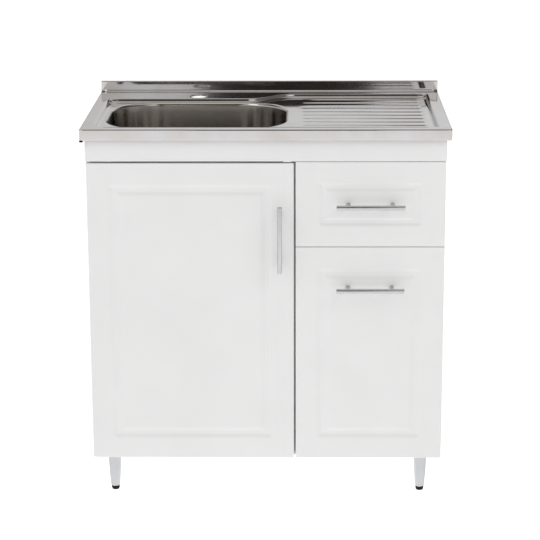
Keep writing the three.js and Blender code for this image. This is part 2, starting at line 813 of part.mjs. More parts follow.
// One drawer: a routed front, a box behind it, and a runner on each side in its channel.
function addDrawer(cabinetGroup, drawerGroup, name, size) {
  const { bottomZ, topZ, boxHeight, marginY, handleZ } = size;
  const width = columnRightX - columnLeftX;
  const front = routedFront(width, topZ - bottomZ, grooveMargin, marginY);
  add(drawerGroup, `${name}_front`, stood(shapeOf(front)), foil, columnLeftX, frontBackY, bottomZ);
  addHandle(drawerGroup, `${name}_handle`, columnX, handleZ, false);

  const boxLeft = partitionRightX + runnerSpace;
  const boxRight = insideRightX - runnerSpace;
  const boxFront = frontBackY + seat;
  const boxBack = boxFront + boxDepth;
  const floorZ = bottomZ + board + boxFloorClearance;
  const wallZ = floorZ + boxFloor + seat;
  const wallTop = wallZ + boxHeight;
  addBoard(drawerGroup, `${name}_bottom`, hardboard,
    [boxLeft, boxFront, floorZ], [boxRight, boxBack, floorZ + boxFloor]);
  addBoard(drawerGroup, `${name}_side_left`, melamine,
    [boxLeft, boxFront, wallZ], [boxLeft + boxBoard, boxBack, wallTop]);
  addBoard(drawerGroup, `${name}_side_right`, melamine,
    [boxRight - boxBoard, boxFront, wallZ], [boxRight, boxBack, wallTop]);
  addBoard(drawerGroup, `${name}_back`, melamine,
    [boxLeft + boxBoard + seat, boxBack - boxBoard, wallZ],
    [boxRight - boxBoard - seat, boxBack, wallTop]);

  const barZ = wallZ + runnerLift;
  const channelFront = carcassFrontY + runnerSetback;
  const channelHalf = runnerHeight / 2 + runnerPlay;
  const channelX = runnerSpace - runnerLip;
  const channel = extruded([
    [seat, -channelHalf - runnerSheet],
    [channelX, -channelHalf - runnerSheet],
    [channelX, -channelHalf],
    [seat + runnerSheet, -channelHalf],
    [seat + runnerSheet, channelHalf],
    [channelX, channelHalf],
    [channelX, channelHalf + runnerSheet],
    [seat, channelHalf + runnerSheet],
  ], boxDepth).rotateX(Math.PI / 2).translate(0, boxDepth, 0);
  const channelZ = barZ + runnerHeight / 2;
  add(cabinetGroup, `${name}_channel_left`, channel, runnerPaint, partitionRightX, channelFront, channelZ);
  const mirrored = channel.clone().scale(-1, 1, 1);
  add(cabinetGroup, `${name}_channel_right`, mirrored, runnerPaint, insideRightX, channelFront, channelZ);

  const play = seat + runnerSheet + runnerPlay;
  addBoard(drawerGroup, `${name}_runner_left`, runnerPaint,
    [partitionRightX + play, channelFront, barZ], [boxLeft - seat, boxBack, barZ + runnerHeight]);
  addBoard(drawerGroup, `${name}_runner_right`, runnerPaint,
    [boxRight + seat, channelFront, barZ], [insideRightX - play, boxBack, barZ + runnerHeight]);
}

// ---------------------------------------------------------------- the whole unit

const unit = new THREE.Group();
const cabinet = new THREE.Group();
const doorLeaf = new THREE.Group();
const topDrawer = new THREE.Group();
const deepPullout = new THREE.Group();
const strainer = new THREE.Group();
unit.add(cabinet, doorLeaf, topDrawer, deepPullout, strainer);

add(cabinet, 'sink_top', sinkTop(), steel);
addWaste(cabinet, strainer);
addCarcass(cabinet);
addLegs(cabinet);
addDoor(cabinet, doorLeaf);
addDrawer(cabinet, topDrawer, 'drawer', {
  bottomZ: drawerFrontBottomZ,
  topZ: frontsTopZ,
  boxHeight: drawerBoxHeight,
  marginY: drawerGrooveMargin,
  handleZ: (drawerFrontBottomZ + frontsTopZ) / 2,
});
addDrawer(cabinet, deepPullout, 'pullout', {
  bottomZ: frontsBottomZ,
  topZ: pulloutTopZ,
  boxHeight: pulloutBoxHeight,
  marginY: grooveMargin,
  handleZ: pulloutTopZ - pulloutHandleFromTop,
});

export default unit;
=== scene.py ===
"""Kitchen sink unit: a pressed steel sink top on a white cabinet with a door, a drawer and a deep pull-out.

Every size is in millimetres in the model's own frame (+X right, +Y back, +Z up, floor at zero) and becomes
metres where it is handed to Blender. Shapes are grids of points worked out with numpy.
"""

from __future__ import annotations

import logging
import math
from dataclasses import dataclass
from enum import Enum
from typing import Any, Sequence

import bmesh
import bpy
import numpy as np
from mathutils import Matrix, Vector


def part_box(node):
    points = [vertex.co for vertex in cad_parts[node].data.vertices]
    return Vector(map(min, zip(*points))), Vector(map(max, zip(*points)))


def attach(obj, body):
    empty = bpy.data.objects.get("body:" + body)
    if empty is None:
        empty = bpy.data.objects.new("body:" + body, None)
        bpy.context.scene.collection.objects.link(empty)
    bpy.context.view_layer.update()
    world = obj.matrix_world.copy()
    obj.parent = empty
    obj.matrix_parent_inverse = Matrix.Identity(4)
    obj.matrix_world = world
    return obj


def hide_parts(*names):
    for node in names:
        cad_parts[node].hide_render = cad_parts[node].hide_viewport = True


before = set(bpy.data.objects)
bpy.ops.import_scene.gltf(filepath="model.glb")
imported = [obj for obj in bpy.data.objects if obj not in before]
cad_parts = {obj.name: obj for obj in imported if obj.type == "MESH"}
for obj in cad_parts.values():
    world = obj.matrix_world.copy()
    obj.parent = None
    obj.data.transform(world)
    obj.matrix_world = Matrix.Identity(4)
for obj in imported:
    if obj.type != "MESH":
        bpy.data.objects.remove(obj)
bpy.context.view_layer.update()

log = logging.getLogger("sink_unit")

Array = np.ndarray
Pair = tuple[float, float]
Triple = tuple[float, float, float]
Point = Sequence[float]
Span = tuple[float, float, int]
Block = tuple[int, int, int, int]
Shades = tuple[str, str]
Sockets = tuple[tuple[str, Any], ...]

MM = 0.001
WELD, WELD_SHIFT = 0.002, 0.37  # the welding lattice's cell in millimetres, and its shift in cells
DOUBLES = 1e-6  # points of a plain solid that are this near, in metres, are one
SHARP_ANGLE, FLAT_ANGLE = math.radians(38), math.radians(1)
QUARTER, FULL_TURN = np.pi / 2, 2 * np.pi
NEAR_CORNER = np.array([0, 1, 2, 3.2, 4.8, 6.8, 9, 12, 17, 24], float)
# Face attribute of sawn or deep-drawn faces; in the steel bowl it also places painted shade.
WORKED = "worked"
CABINET, DOOR, STRAINER = "cabinet", "door", "strainer"


class Axis(Enum):
    """The line a turned or drawn piece runs along, by the place of its coordinate."""

    X = 0
    Y = 1
    Z = 2

    @property
    def place(self) -> int:
        """Where its coordinate stands in a point."""
        return self.value


# ---------------------------------------------------------------- geometry


class Shell:
    """The surface of one piece: grids of points in millimetres, welded where they meet."""

    def __init__(self) -> None:
        """Starts with nothing in it."""
        self.points: list[Array] = []
        self.quads: list[Array] = []
        self.marks: list[Array] = []
        self.count = 0

    def add(
        self, grid: Array, around: bool = False, keep: Array | None = None, mark: float = 0.0
    ) -> Shell:
        """Adds a grid of points. Columns run first and rows second in the sense that points the faces out.

        Args:
            grid: points by row, column and coordinate.
            around: the last column joins the first.
            keep: which cells have a face, for a grid with openings.
            mark: 1 where the face was sawn or deep-drawn, 0 elsewhere. In the steel bowl the mark
            also places painted shade.

        Returns:
            The shell itself.
        """
        rows, columns = grid.shape[:2]
        index = self.count + np.arange(rows * columns).reshape(rows, columns)
        if around:
            index = np.concatenate([index, index[:, :1]], axis=1)
        quads = np.stack([index[:-1, :-1], index[:-1, 1:], index[1:, 1:], index[1:, :-1]], axis=-1)
        quads = quads.reshape(-1, 4) if keep is None else quads[keep]
        self.points.append(grid.reshape(-1, 3))
        self.quads.append(quads)
        self.marks.append(np.full(len(quads), mark, np.float32))
        self.count += rows * columns
        return self

    def add_block(
        self, low: Point, high: Point, edge: float, raw: Sequence[str] = (), turns: int = 3
    ) -> Shell:
        """Adds a board with rounded edges.

        Each point of the outer box is pulled back to the box shrunk by the edge radius, then pushed out
        again by that radius along the same line. The grid has lines at even angles of the rounding, and
        one a little past it.

        Args:
            low, high: its two corners.
            edge: the radius of its edges.
            raw: sides that show a sawn edge, such as "+y".
            turns: parts in half a rounding.

        Returns:
            The shell itself.
        """
        low, high = np.array(low, float), np.array(high, float)
        near = edge * (1 - np.tan(np.linspace(np.pi / 4, 0, turns + 1)))
        near = np.append(near, min(1.9 * edge, (high - low).min() * 0.49))
        lines = [np.concatenate([low[a] + near, high[a] - near[::-1]]) for a in range(3)]
        for axis in range(3):
            u, v = (axis + 1) % 3, (axis + 2) % 3
            across, along = np.meshgrid(lines[u], lines[v])
            for side, sign in ((low, "-"), (high, "+")):
                grid = np.empty(across.shape + (3,))
                grid[..., u], grid[..., v], grid[..., axis] = across, along, side[axis]
                core = np.clip(grid, low + edge, high - edge)
                grid = core + edge * unit(grid - core)
                mark = 1.0 if sign + "xyz"[axis] in raw else 0.0
                self.add(grid if sign == "+" else grid[:, ::-1], mark=mark)
        return self

    def add_turned(
        self, profile: Array, at: Point, axis: Axis = Axis.Z, sides: int = 48
    ) -> Shell:
        """Adds a profile turned round an axis: the radius times cosine and sine, and the height.

        Args:
            profile: radius and height, with the height rising on the outside.
            at: the point that the profile's heights are measured from.
            axis: the line that it turns about.
            sides: the number of parts round it.

        Returns:
            The shell itself.
        """
        angle = circle(sides)
        radius, height = profile[:, :1], profile[:, 1:]
        ring = np.stack([radius * np.cos(angle), radius * np.sin(angle), height + 0 * angle], axis=-1)
        return self.add(np.roll(ring, axis.place + 1, axis=-1) + np.array(at, float), around=True)

    def mesh(self, name: str) -> bpy.types.Mesh:
        """Welds the grids and makes the mesh, in metres.

        Points in the same cell of a fine lattice become one. A quad with two corners in one point becomes
        a triangle, which closes poles, and one with more is dropped.

        Args:
            name: the mesh's name.

        Returns:
            The mesh, smooth but for its sharp bends.
        """
        points, quads = np.concatenate(self.points), np.concatenate(self.quads)
        marks = np.concatenate(self.marks)
        cells = np.floor(points / WELD + WELD_SHIFT).astype(np.int64)
        _, first, back = np.unique(cells, axis=0, return_index=True, return_inverse=True)
        quads = back.reshape(-1)[quads]
        repeats = quads == np.roll(quads, -1, axis=1)
        whole, folded = ~repeats.any(axis=1), repeats.sum(axis=1) == 1
        triangles = quads[folded][~repeats[folded]].reshape(-1, 3)
        corners = np.concatenate([quads[whole].ravel(), triangles.ravel()])
        used, corners = np.unique(corners, return_inverse=True)
        four, three = int(whole.sum()), len(triangles)
        starts = np.concatenate([4 * np.arange(four), 4 * four + 3 * np.arange(three)])
        mesh = bpy.data.meshes.new(name)
        mesh.vertices.add(len(used))
        mesh.vertices.foreach_set("co", (points[first][used] * MM).astype(np.float32).ravel())
        mesh.loops.add(len(corners))
        mesh.loops.foreach_set("vertex_index", corners.reshape(-1).astype(np.int32))
        mesh.polygons.add(four + three)
        mesh.polygons.foreach_set("loop_start", starts.astype(np.int32))
        mesh.update(calc_edges=True)
        worked = mesh.attributes.new(WORKED, "FLOAT", "FACE")
        worked.data.foreach_set("value", np.concatenate([marks[whole], marks[folded]]))
        mesh.shade_smooth()
        mesh.set_sharp_from_angle(angle=SHARP_ANGLE)
        return mesh


def cad_box(node: str) -> tuple[Array, Array]:
    """The lowest and the highest corner of a plain solid, in millimetres."""
    low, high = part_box(node)
    return np.array(low) / MM, np.array(high) / MM


def unit(way: Array) -> Array:
    """Directions divided by their lengths."""
    return way / np.linalg.norm(way, axis=-1, keepdims=True)


def circle(parts: int) -> Array:
    """Angles of a full turn in even parts, without the last one, which is the first again."""
    return np.linspace(0, FULL_TURN, parts, endpoint=False)


def eased(share: Array) -> Array:
    """An S from 0 to 1, level at both ends: three times the square less twice the cube."""
    share = np.clip(share, 0.0, 1.0)
    return share * share * (3 - 2 * share)


def stops(*spans: Span) -> Array:
    """Grid lines through spans of (from, to, parts), each ending where the next one starts."""
    lines = [np.linspace(low, high, parts, endpoint=False) for low, high, parts in spans]
    return np.concatenate([*lines, [spans[-1][1]]])


def nearest(lines: Array, value: float) -> int:
    """The number of the grid line nearest to a value."""
    return int(np.abs(lines - value).argmin())


def between(start: Array, end: Array, parts: int, first: int = 0, last: int | None = None) -> Array:
    """Rings that lead from one ring of points to another in even steps.

    Args:
        start, end: the two rings.
        parts: the number of steps.
        first, last: which of the rings are given back, as a slice's ends.

    Returns:
        The rings: the start times one less the share, plus the end times the share.
    """
    share = np.linspace(0, 1, parts + 1)[first:last, None, None]
    return start * (1 - share) + end * share


def lifted(plan: Array, heights: Array) -> Array:
    """Rings of plan points, with each ring's height as their third coordinate."""
    heights = np.broadcast_to(heights[:, None, None], plan.shape[:2] + (1,))
    return np.concatenate([plan, heights], axis=-1)


def softened(corners: Sequence[Pair], cuts: Sequence[float], steps: int = 5) -> Array:
    """A polyline with its corners rounded.

    Each corner gives way to the parabola that leaves its first side a cut before it and joins the second
    a cut after it: (1-t) squared of the one point, 2t(1-t) of the corner and t squared of the other.

    Args:
        corners: the polyline's points.
        cuts: how far from each inner corner its rounding starts.
        steps: parts in one rounding.

    Returns:
        The points of the softened line.
    """
    line = np.array(corners, float)
    before, here, after = line[:-2], line[1:-1], line[2:]
    cut = np.array(cuts, float)[:, None]
    leave = here + unit(before - here) * cut
    join = here + unit(after - here) * cut
    t = np.linspace(0, 1, steps + 1)[None, :, None]
    arcs = (1 - t) ** 2 * leave[:, None] + 2 * t * (1 - t) * here[:, None] + t**2 * join[:, None]
    return np.concatenate([line[:1], arcs.reshape(-1, 2), line[-1:]])


def capped(radius: float, low: float, high: float, cuts: Pair, steps: int) -> Array:
    """The profile of a solid disc or bar between two heights, from pole to pole, with softened rims."""
    return softened([(0, low), (radius, low), (radius, high), (0, high)], cuts, steps)


def drawn_out(section: Array, run: Array, axis: Axis) -> Array:
    """A section carried along an axis.

    Args:
        section: its two coordinates by point.
        run: places along the axis.
        axis: the line that it is carried along.

    Returns:
        A grid with a row for each point of the section and a column for each place.
    """
    grid = np.empty((len(section), len(run), 3))
    grid[..., axis.place] = run
    grid[..., [place for place in range(3) if place != axis.place]] = section[:, None]
    return grid


def border(grid: Array, block: Block) -> Array:
    """The points round a block of cells (first and last row, first and last column), in the grid's sense."""
    i0, i1, j0, j1 = block
    return np.concatenate([grid[i0, j0:j1], grid[i0:i1, j1], grid[i1, j1:j0:-1], grid[i1:i0:-1, j0]])


def side_positions(half: float, middle: int) -> Array:
    """Places along a side, close together near both corners.

    Args:
        half: half its length.
        middle: how many places lie between those near the corners.

    Returns:
        Places from minus to plus the half length.
    """
    inner = half - NEAR_CORNER[-1]
    even_part = np.linspace(-inner, inner, middle + 2)[1:-1]
    return np.concatenate([NEAR_CORNER - half, even_part, half - NEAR_CORNER[::-1]])


def corner_loop(half: Pair, radius: float, middle: tuple[int, int]) -> Array:
    """A rectangle with round corners, as a loop of points.

    A place nearer to its corner than the radius moves onto the arc: its angle past the side's own
    direction is 45 degrees times one less its distance over the radius.

    Args:
        half: half the width and half the height.
        radius: the corner radius.
        middle: how many places each side has between its corners.

    Returns:
        Points, counterclockwise from the lower left corner.
    """
    sides = []
    radius = max(radius, 1e-6)
    for turn in range(4):
        length, reach = half[turn % 2], half[(turn + 1) % 2]
        along = side_positions(length, middle[turn % 2])
        to_corner = length - np.abs(along)
        angle = np.pi / 4 * np.clip(1 - to_corner / radius, 0, None)
        on_arc = to_corner < radius
        s = np.where(on_arc, np.sign(along) * (length - radius + radius * np.sin(angle)), along)
        out = np.where(on_arc, reach - radius + radius * np.cos(angle), reach)
        x, y = [(s, -out), (out, s), (-s, out), (-out, -s)][turn]
        sides.append(np.stack([x, y], axis=-1)[:-1])
    return np.concatenate(sides)




# ---------------------------------------------------------------- finishes


class Slot(Enum):
    """The record's material slots, which each finish names."""

    STEEL = "stainless_steel"
    BAR = "brushed_handle_steel"
    PLATED = "zinc_plated_steel"
    FOIL = "foil_wrapped_mdf"
    BOARD = "melamine_board"
    HARDBOARD = "hardboard"
    LEG = "leg_plastic"
    BLACK_RUBBER = "black_rubber"
    GREY_RUBBER = "grey_rubber"
    GREY_PLASTIC = "grey_plastic"
    RUNNER = "painted_runner"


def linear(shade: str) -> tuple[float, float, float, float]:
    """Turns an sRGB hex colour into Blender's linear colour.

    Args:
        shade: a colour such as "#F2F2F1".

    Returns:
        Red, green, blue and full opacity.
    """
    values = [int(shade[i : i + 2], 16) / 255 for i in (1, 3, 5)]
    return (*(v / 12.92 if v <= 0.04045 else ((v + 0.055) / 1.055) ** 2.4 for v in values), 1.0)


def add_node(
    tree: bpy.types.NodeTree,
    kind: str,
    inputs: dict[str | int, Any] | None = None,
    settings: dict[str, Any] | None = None,
) -> bpy.types.bpy_prop_collection:
    """Adds one node with its settings and links.

    Args:
        tree: the node tree.
        kind: the node's type name, without its usual first part.
        inputs: input name or number, to a value or to the socket that feeds it.
        settings: the node's own properties.

    Returns:
        The node's outputs.
    """
    node = tree.nodes.new(f"ShaderNode{kind}")
    for key, value in (settings or {}).items():
        setattr(node, key, value)
    for key, value in (inputs or {}).items():
        if isinstance(value, bpy.types.NodeSocket):
            tree.links.new(value, node.inputs[key])
        else:
            node.inputs[key].default_value = value
    return node.outputs


@dataclass(frozen=True)
class Grain:
    """One pattern of a surface: the size of its grains in millimetres along X, Y and Z, and how broken it is.

    Only the middle of a noise's values is used. It reaches from a span under the half to a span over it,
    so a small span gives a hard pattern. A grain of flat chips is a cell pattern with one value to a cell.
    """

    size: Triple
    detail: float = 2.0
    broken: float = 0.5
    span: float = 0.25
    chips: bool = False


def even(size: float, detail: float = 2.0, broken: float = 0.5, span: float = 0.25) -> Grain:
    """A grain that measures the same all ways."""
    return Grain((size, size, size), detail, broken, span)


@dataclass(frozen=True, kw_only=True)
class Finish:
    """The surface of one real material: two close shades in a cloud, and a grain in its polish and relief.

    Roughness runs between its two values with the grain, and the grain's relief has a depth in
    millimetres. Waves are a broader relief under it. The sockets' values are those that are the same all
    over. Faces marked as worked, which were sawn or deep-drawn, have two shades and a grain of their own,
    and that much more roughness. On sawn faces these shades are the board's own colour; in the
    deep-drawn steel bowl they are painted shade.
    """

    name: str
    slot: Slot | None
    shades: Shades
    cloud: Grain
    grain: Grain
    roughness: Pair
    depth: float = 0.0
    waves: tuple[Grain, float] | None = None
    sockets: Sockets = ()
    worked_colours_and_painted_shade: Shades | None = None
    worked_grain: Grain | None = None
    worked_roughness: float = 0.0

    def build(self) -> bpy.types.Material:
        """Makes the material.

        Each grain is a pattern on the piece's own coordinates, divided by the grain's size, with its
        middle range stretched to run from 0 to 1.

        Returns:
            The material.
        """
        material = bpy.data.materials.new(self.name)
        material.use_nodes = True
        tree = material.node_tree
        tree.nodes.clear()
        place = add_node(tree, "TexCoord")["Object"]
        reliefs = [*([self.waves] if self.waves else []), *([(self.grain, self.depth)] if self.depth else [])]
        grains = [self.cloud, self.grain, *(grain for grain, _ in reliefs)]
        share = {}
        for grain in dict.fromkeys(grains + ([self.worked_grain] if self.worked_grain else [])):
            scale = [1 / (MM * size) for size in grain.size]
            scaled = add_node(tree, "Mapping", {"Vector": place, "Scale": scale})
            inputs = {"Vector": scaled[0], "Scale": 1.0}
            if grain.chips:
                cells = add_node(tree, "TexVoronoi", inputs)["Color"]
                made = add_node(tree, "SeparateColor", {"Color": cells})[0]
            else:
                inputs |= {"Detail": grain.detail, "Roughness": grain.broken}
                made = add_node(tree, "TexNoise", inputs)[0]
            low, high = 0.5 - grain.span, 0.5 + grain.span
            share[grain] = add_node(tree, "MapRange", {"Value": made, "From Min": low, "From Max": high})[0]
        colours = []
        for grain, shades in ((self.cloud, self.shades), (self.worked_grain, self.worked_colours_and_painted_shade)):
            if grain is not None:
                mixed = {"Factor": share[grain], 6: linear(shades[0]), 7: linear(shades[1])}
                colours.append(add_node(tree, "Mix", mixed, {"data_type": "RGBA"})[2])
        low, high = self.roughness
        dull = add_node(tree, "MapRange", {"Value": share[self.grain], "To Min": low, "To Max": high})[0]
        # Marked faces take their own shades: sawn colour on boards, painted shade in the steel bowl.
        if self.worked_grain:
            worked = add_node(tree, "Attribute", settings={"attribute_name": WORKED})["Fac"]
            mixed = {"Factor": worked, 6: colours[0], 7: colours[1]}
            colours[0] = add_node(tree, "Mix", mixed, {"data_type": "RGBA"})[2]
            summed = {0: worked, 1: self.worked_roughness, 2: dull}
            dull = add_node(tree, "Math", summed, {"operation": "MULTIPLY_ADD"})[0]
        values = {"Base Color": colours[0], "Roughness": dull, **dict(self.sockets)}
        for grain, depth in reliefs:
            bumped = {"Height": share[grain], "Distance": depth * MM}
            bumped |= {"Normal": values["Normal"]} if "Normal" in values else {}
            values["Normal"] = add_node(tree, "Bump", bumped)[0]
        shader = add_node(tree, "BsdfPrincipled", values)["BSDF"]
        add_node(tree, "OutputMaterial", {"Surface": shader})
        return material


METAL: Sockets = (("Metallic", 1.0),)
ROLLING = Grain((120.0, 1.1, 1.1), 3.0, 0.6)
FIBRES = Grain((6.0, 2.0, 2.0), 5.0, 0.7)


@dataclass(frozen=True)
class PressedStainless(Finish):
    """Cold-rolled stainless sheet, drawn in a press and polished: a bright, slightly wavy mirror.

    Faint warm patches in a random cloud are painted reflection, and the press leaves shallow waves. The
    deep-drawn bowl takes less of a polish, and its darker, browner shades are painted shade. Rolling grain
    is some 0.05 mm across and is drawn at 1.1 mm, so that it shows.
    """

    name: str = "pressed_polished_stainless"
    slot: Slot = Slot.STEEL
    # The second shade and the cloud make faint warm patches: painted reflection.
    shades: Shades = ("#CCCCCD", "#C3BEBA")
    cloud: Grain = even(80.0, 3.0, span=0.2)
    grain: Grain = ROLLING
    roughness: Pair = (0.05, 0.1)
    depth: float = 0.00015
    waves: tuple[Grain, float] = (even(60.0, 1.0), 0.012)
    sockets: Sockets = METAL
    # The bowl's darker, browner shades: painted shade.
    worked_colours_and_painted_shade: Shades = ("#C0BCB8", "#B6B2AD")
    worked_grain: Grain = even(80.0, 3.0, span=0.5)
    worked_roughness: float = 0.06


@dataclass(frozen=True)
class BrushedBar(Finish):
    """Stainless bar, belt-brushed along its length: a soft streak of light on a warm grey body.

    The belt's scratches are finer than 0.1 mm and are drawn at 0.35 mm.
    """

    slot: Slot = Slot.BAR
    shades: Shades = ("#C8C8C8", "#B2B2B3")
    roughness: Pair = (0.14, 0.24)
    depth: float = 0.003
    sockets: Sockets = METAL

    @classmethod
    def along(cls, axis: Axis) -> BrushedBar:
        """The finish of a bar that was brushed along an axis.

        Args:
            axis: the bar's own line.

        Returns:
            The finish.
        """
        size = [0.35, 0.35, 0.35]
        size[axis.place] = 22.0
        scratch = Grain((size[0], size[1], size[2]), 2.0, 0.6)
        return cls(name=f"brushed_stainless_bar_{axis.name.lower()}", cloud=scratch, grain=scratch)


@dataclass(frozen=True)
class PlatedSteel(Finish):
    """Pressed mild steel with bright nickel: duller than stainless, with plating clouds a centimetre wide.

    The strip's own grain is some 0.2 mm across and is drawn at 0.8 mm.
    """

    name: str = "nickel_plated_steel"
    slot: Slot = Slot.PLATED
    shades: Shades = ("#CBCAC7", "#B4B1AA")
    cloud: Grain = even(14.0, 3.0)
    grain: Grain = even(0.8)
    roughness: Pair = (0.2, 0.32)
    depth: float = 0.004
    sockets: Sockets = METAL


@dataclass(frozen=True)
class VinylFoil(Finish):
    """Vinyl foil drawn over routed fibreboard by vacuum: a satin white skin with a faint orange peel.

    The peel's real grains are half a millimetre wide and are drawn at 3 mm.
    """

    name: str = "satin_white_vinyl_foil"
    slot: Slot = Slot.FOIL
    shades: Shades = ("#E1E1E1", "#DEDEDE")
    cloud: Grain = even(120.0)
    grain: Grain = even(3.0, 1.0)
    roughness: Pair = (0.3, 0.4)
    depth: float = 0.006
    sockets: Sockets = (("Specular IOR Level", 0.45),)


@dataclass(frozen=True)
class MelamineBoard(Finish):
    """Chipboard faced with white melamine paper: a matt pearl face.

    Where it was sawn it shows flat chips of two browns, some millimetres wide.
    """

    name: str = "white_melamine_chipboard"
    slot: Slot = Slot.BOARD
    shades: Shades = ("#F0F0EE", "#EDEDEA")
    cloud: Grain = even(90.0)
    grain: Grain = even(1.6)
    roughness: Pair = (0.42, 0.58)
    depth: float = 0.005
    sockets: Sockets = (("Specular IOR Level", 0.35),)
    worked_colours_and_painted_shade: Shades = ("#C9A87C", "#8F6C45")
    worked_grain: Grain = Grain((2.6, 2.6, 2.6), span=0.5, chips=True)


@dataclass(frozen=True)
class Hardboard(Finish):
    """Pressed fibre sheet, painted white on its good face.

    The other face is brown, in strands that are longer than they are wide.
    """

    name: str = "white_faced_hardboard"
    slot: Slot = Slot.HARDBOARD
    shades: Shades = ("#E9E7E2", "#E4E2DC")
    cloud: Grain = even(60.0)
    grain: Grain = FIBRES
    roughness: Pair = (0.5, 0.75)
    depth: float = 0.015
    sockets: Sockets = (("Specular IOR Level", 0.3),)
    worked_colours_and_painted_shade: Shades = ("#9A7448", "#7A5833")
    worked_grain: Grain = Grain(FIBRES.size, FIBRES.detail, FIBRES.broken, 0.5)


@dataclass(frozen=True)
class MouldedPlastic(Finish):
    """Injection-moulded ABS or nylon: an even colour with the fine spark-eroded texture of its mould.

    The texture's pits are some 0.1 mm across and are drawn at 0.7 mm.
    """

    name: str = "moulded_grey_abs"
    slot: Slot = Slot.LEG
    shades: Shades = ("#C9CACD", "#C3C4C8")
    cloud: Grain = even(0.7)
    grain: Grain = even(0.7)
    roughness: Pair = (0.34, 0.46)
    depth: float = 0.007


@dataclass(frozen=True)
class MouldedRubber(Finish):
    """Moulded rubber: nearly black, matt, with a dusty sheen on its edges.

    Its mould's pits are some 0.1 mm across and are drawn at 0.7 mm.
    """

    name: str = "moulded_black_rubber"
    slot: Slot = Slot.BLACK_RUBBER
    shades: Shades = ("#060606", "#0C0C0D")
    cloud: Grain = even(0.7)
    grain: Grain = even(0.7)
    roughness: Pair = (0.35, 0.5)
    depth: float = 0.007
    sockets: Sockets = (("Specular IOR Level", 0.2), ("Sheen Weight", 0.01), ("Sheen Roughness", 0.4))


@dataclass(frozen=True)
class EpoxyCoatedSteel(Finish):
    """Folded steel strip with white epoxy powder: glossy, with the 2 mm orange peel of baked powder."""

    name: str = "white_epoxy_coated_steel"
    slot: Slot = Slot.RUNNER
    shades: Shades = ("#ECECEA", "#DAD9D5")
    cloud: Grain = even(2.2)
    grain: Grain = even(2.2)
    roughness: Pair = (0.25, 0.4)
    depth: float = 0.01
    sockets: Sockets = (("Coat Weight", 0.2),)


@dataclass(frozen=True)
class FloorPaint(Finish):
    """Painted studio floor: matt white with the faintest cloud, and a glow as of a light table."""

    name: str = "matt_white_floor_paint"
    slot: None = None
    shades: Shades = ("#FDFDFD", "#FBFBFB")
    cloud: Grain = even(900.0)
    grain: Grain = even(900.0)
    roughness: Pair = (0.78, 0.82)
    sockets: Sockets = (
        ("Specular IOR Level", 0.1),
        ("Emission Color", (0.97, 0.98, 1.0, 1.0)),
        ("Emission Strength", 0.61),
    )


@dataclass(frozen=True)
class StudioFelt(Finish):
    """Felt on a studio card: a matt dark cloth that takes light away from what mirrors it."""

    name: str = "dark_studio_felt"
    slot: None = None
    shades: Shades = ("#2D2926", "#2A2623")
    cloud: Grain = even(300.0)
    grain: Grain = even(3.0)
    roughness: Pair = (0.85, 0.95)


STEEL, PLATED, FOIL = PressedStainless(), PlatedSteel(), VinylFoil()
BARS = {axis: BrushedBar.along(axis) for axis in Axis}
BOARD, HARDBOARD, RUNNER = MelamineBoard(), Hardboard(), EpoxyCoatedSteel()
LEG, BLACK_RUBBER = MouldedPlastic(), MouldedRubber()
GREY_RUBBER = MouldedRubber(
    "moulded_grey_rubber", Slot.GREY_RUBBER, ("#3A3A3B", "#444445"), roughness=(0.6, 0.75)
)
GREY_PLASTIC = MouldedPlastic(
    "moulded_grey_nylon", Slot.GREY_PLASTIC, ("#46474A", "#505154"), roughness=(0.4, 0.52)
)
WHITE_PLASTIC = MouldedPlastic("moulded_white_nylon", shades=("#E9E9E6", "#E2E2DF"), roughness=(0.35, 0.45))


# ---------------------------------------------------------------- putting pieces in the model


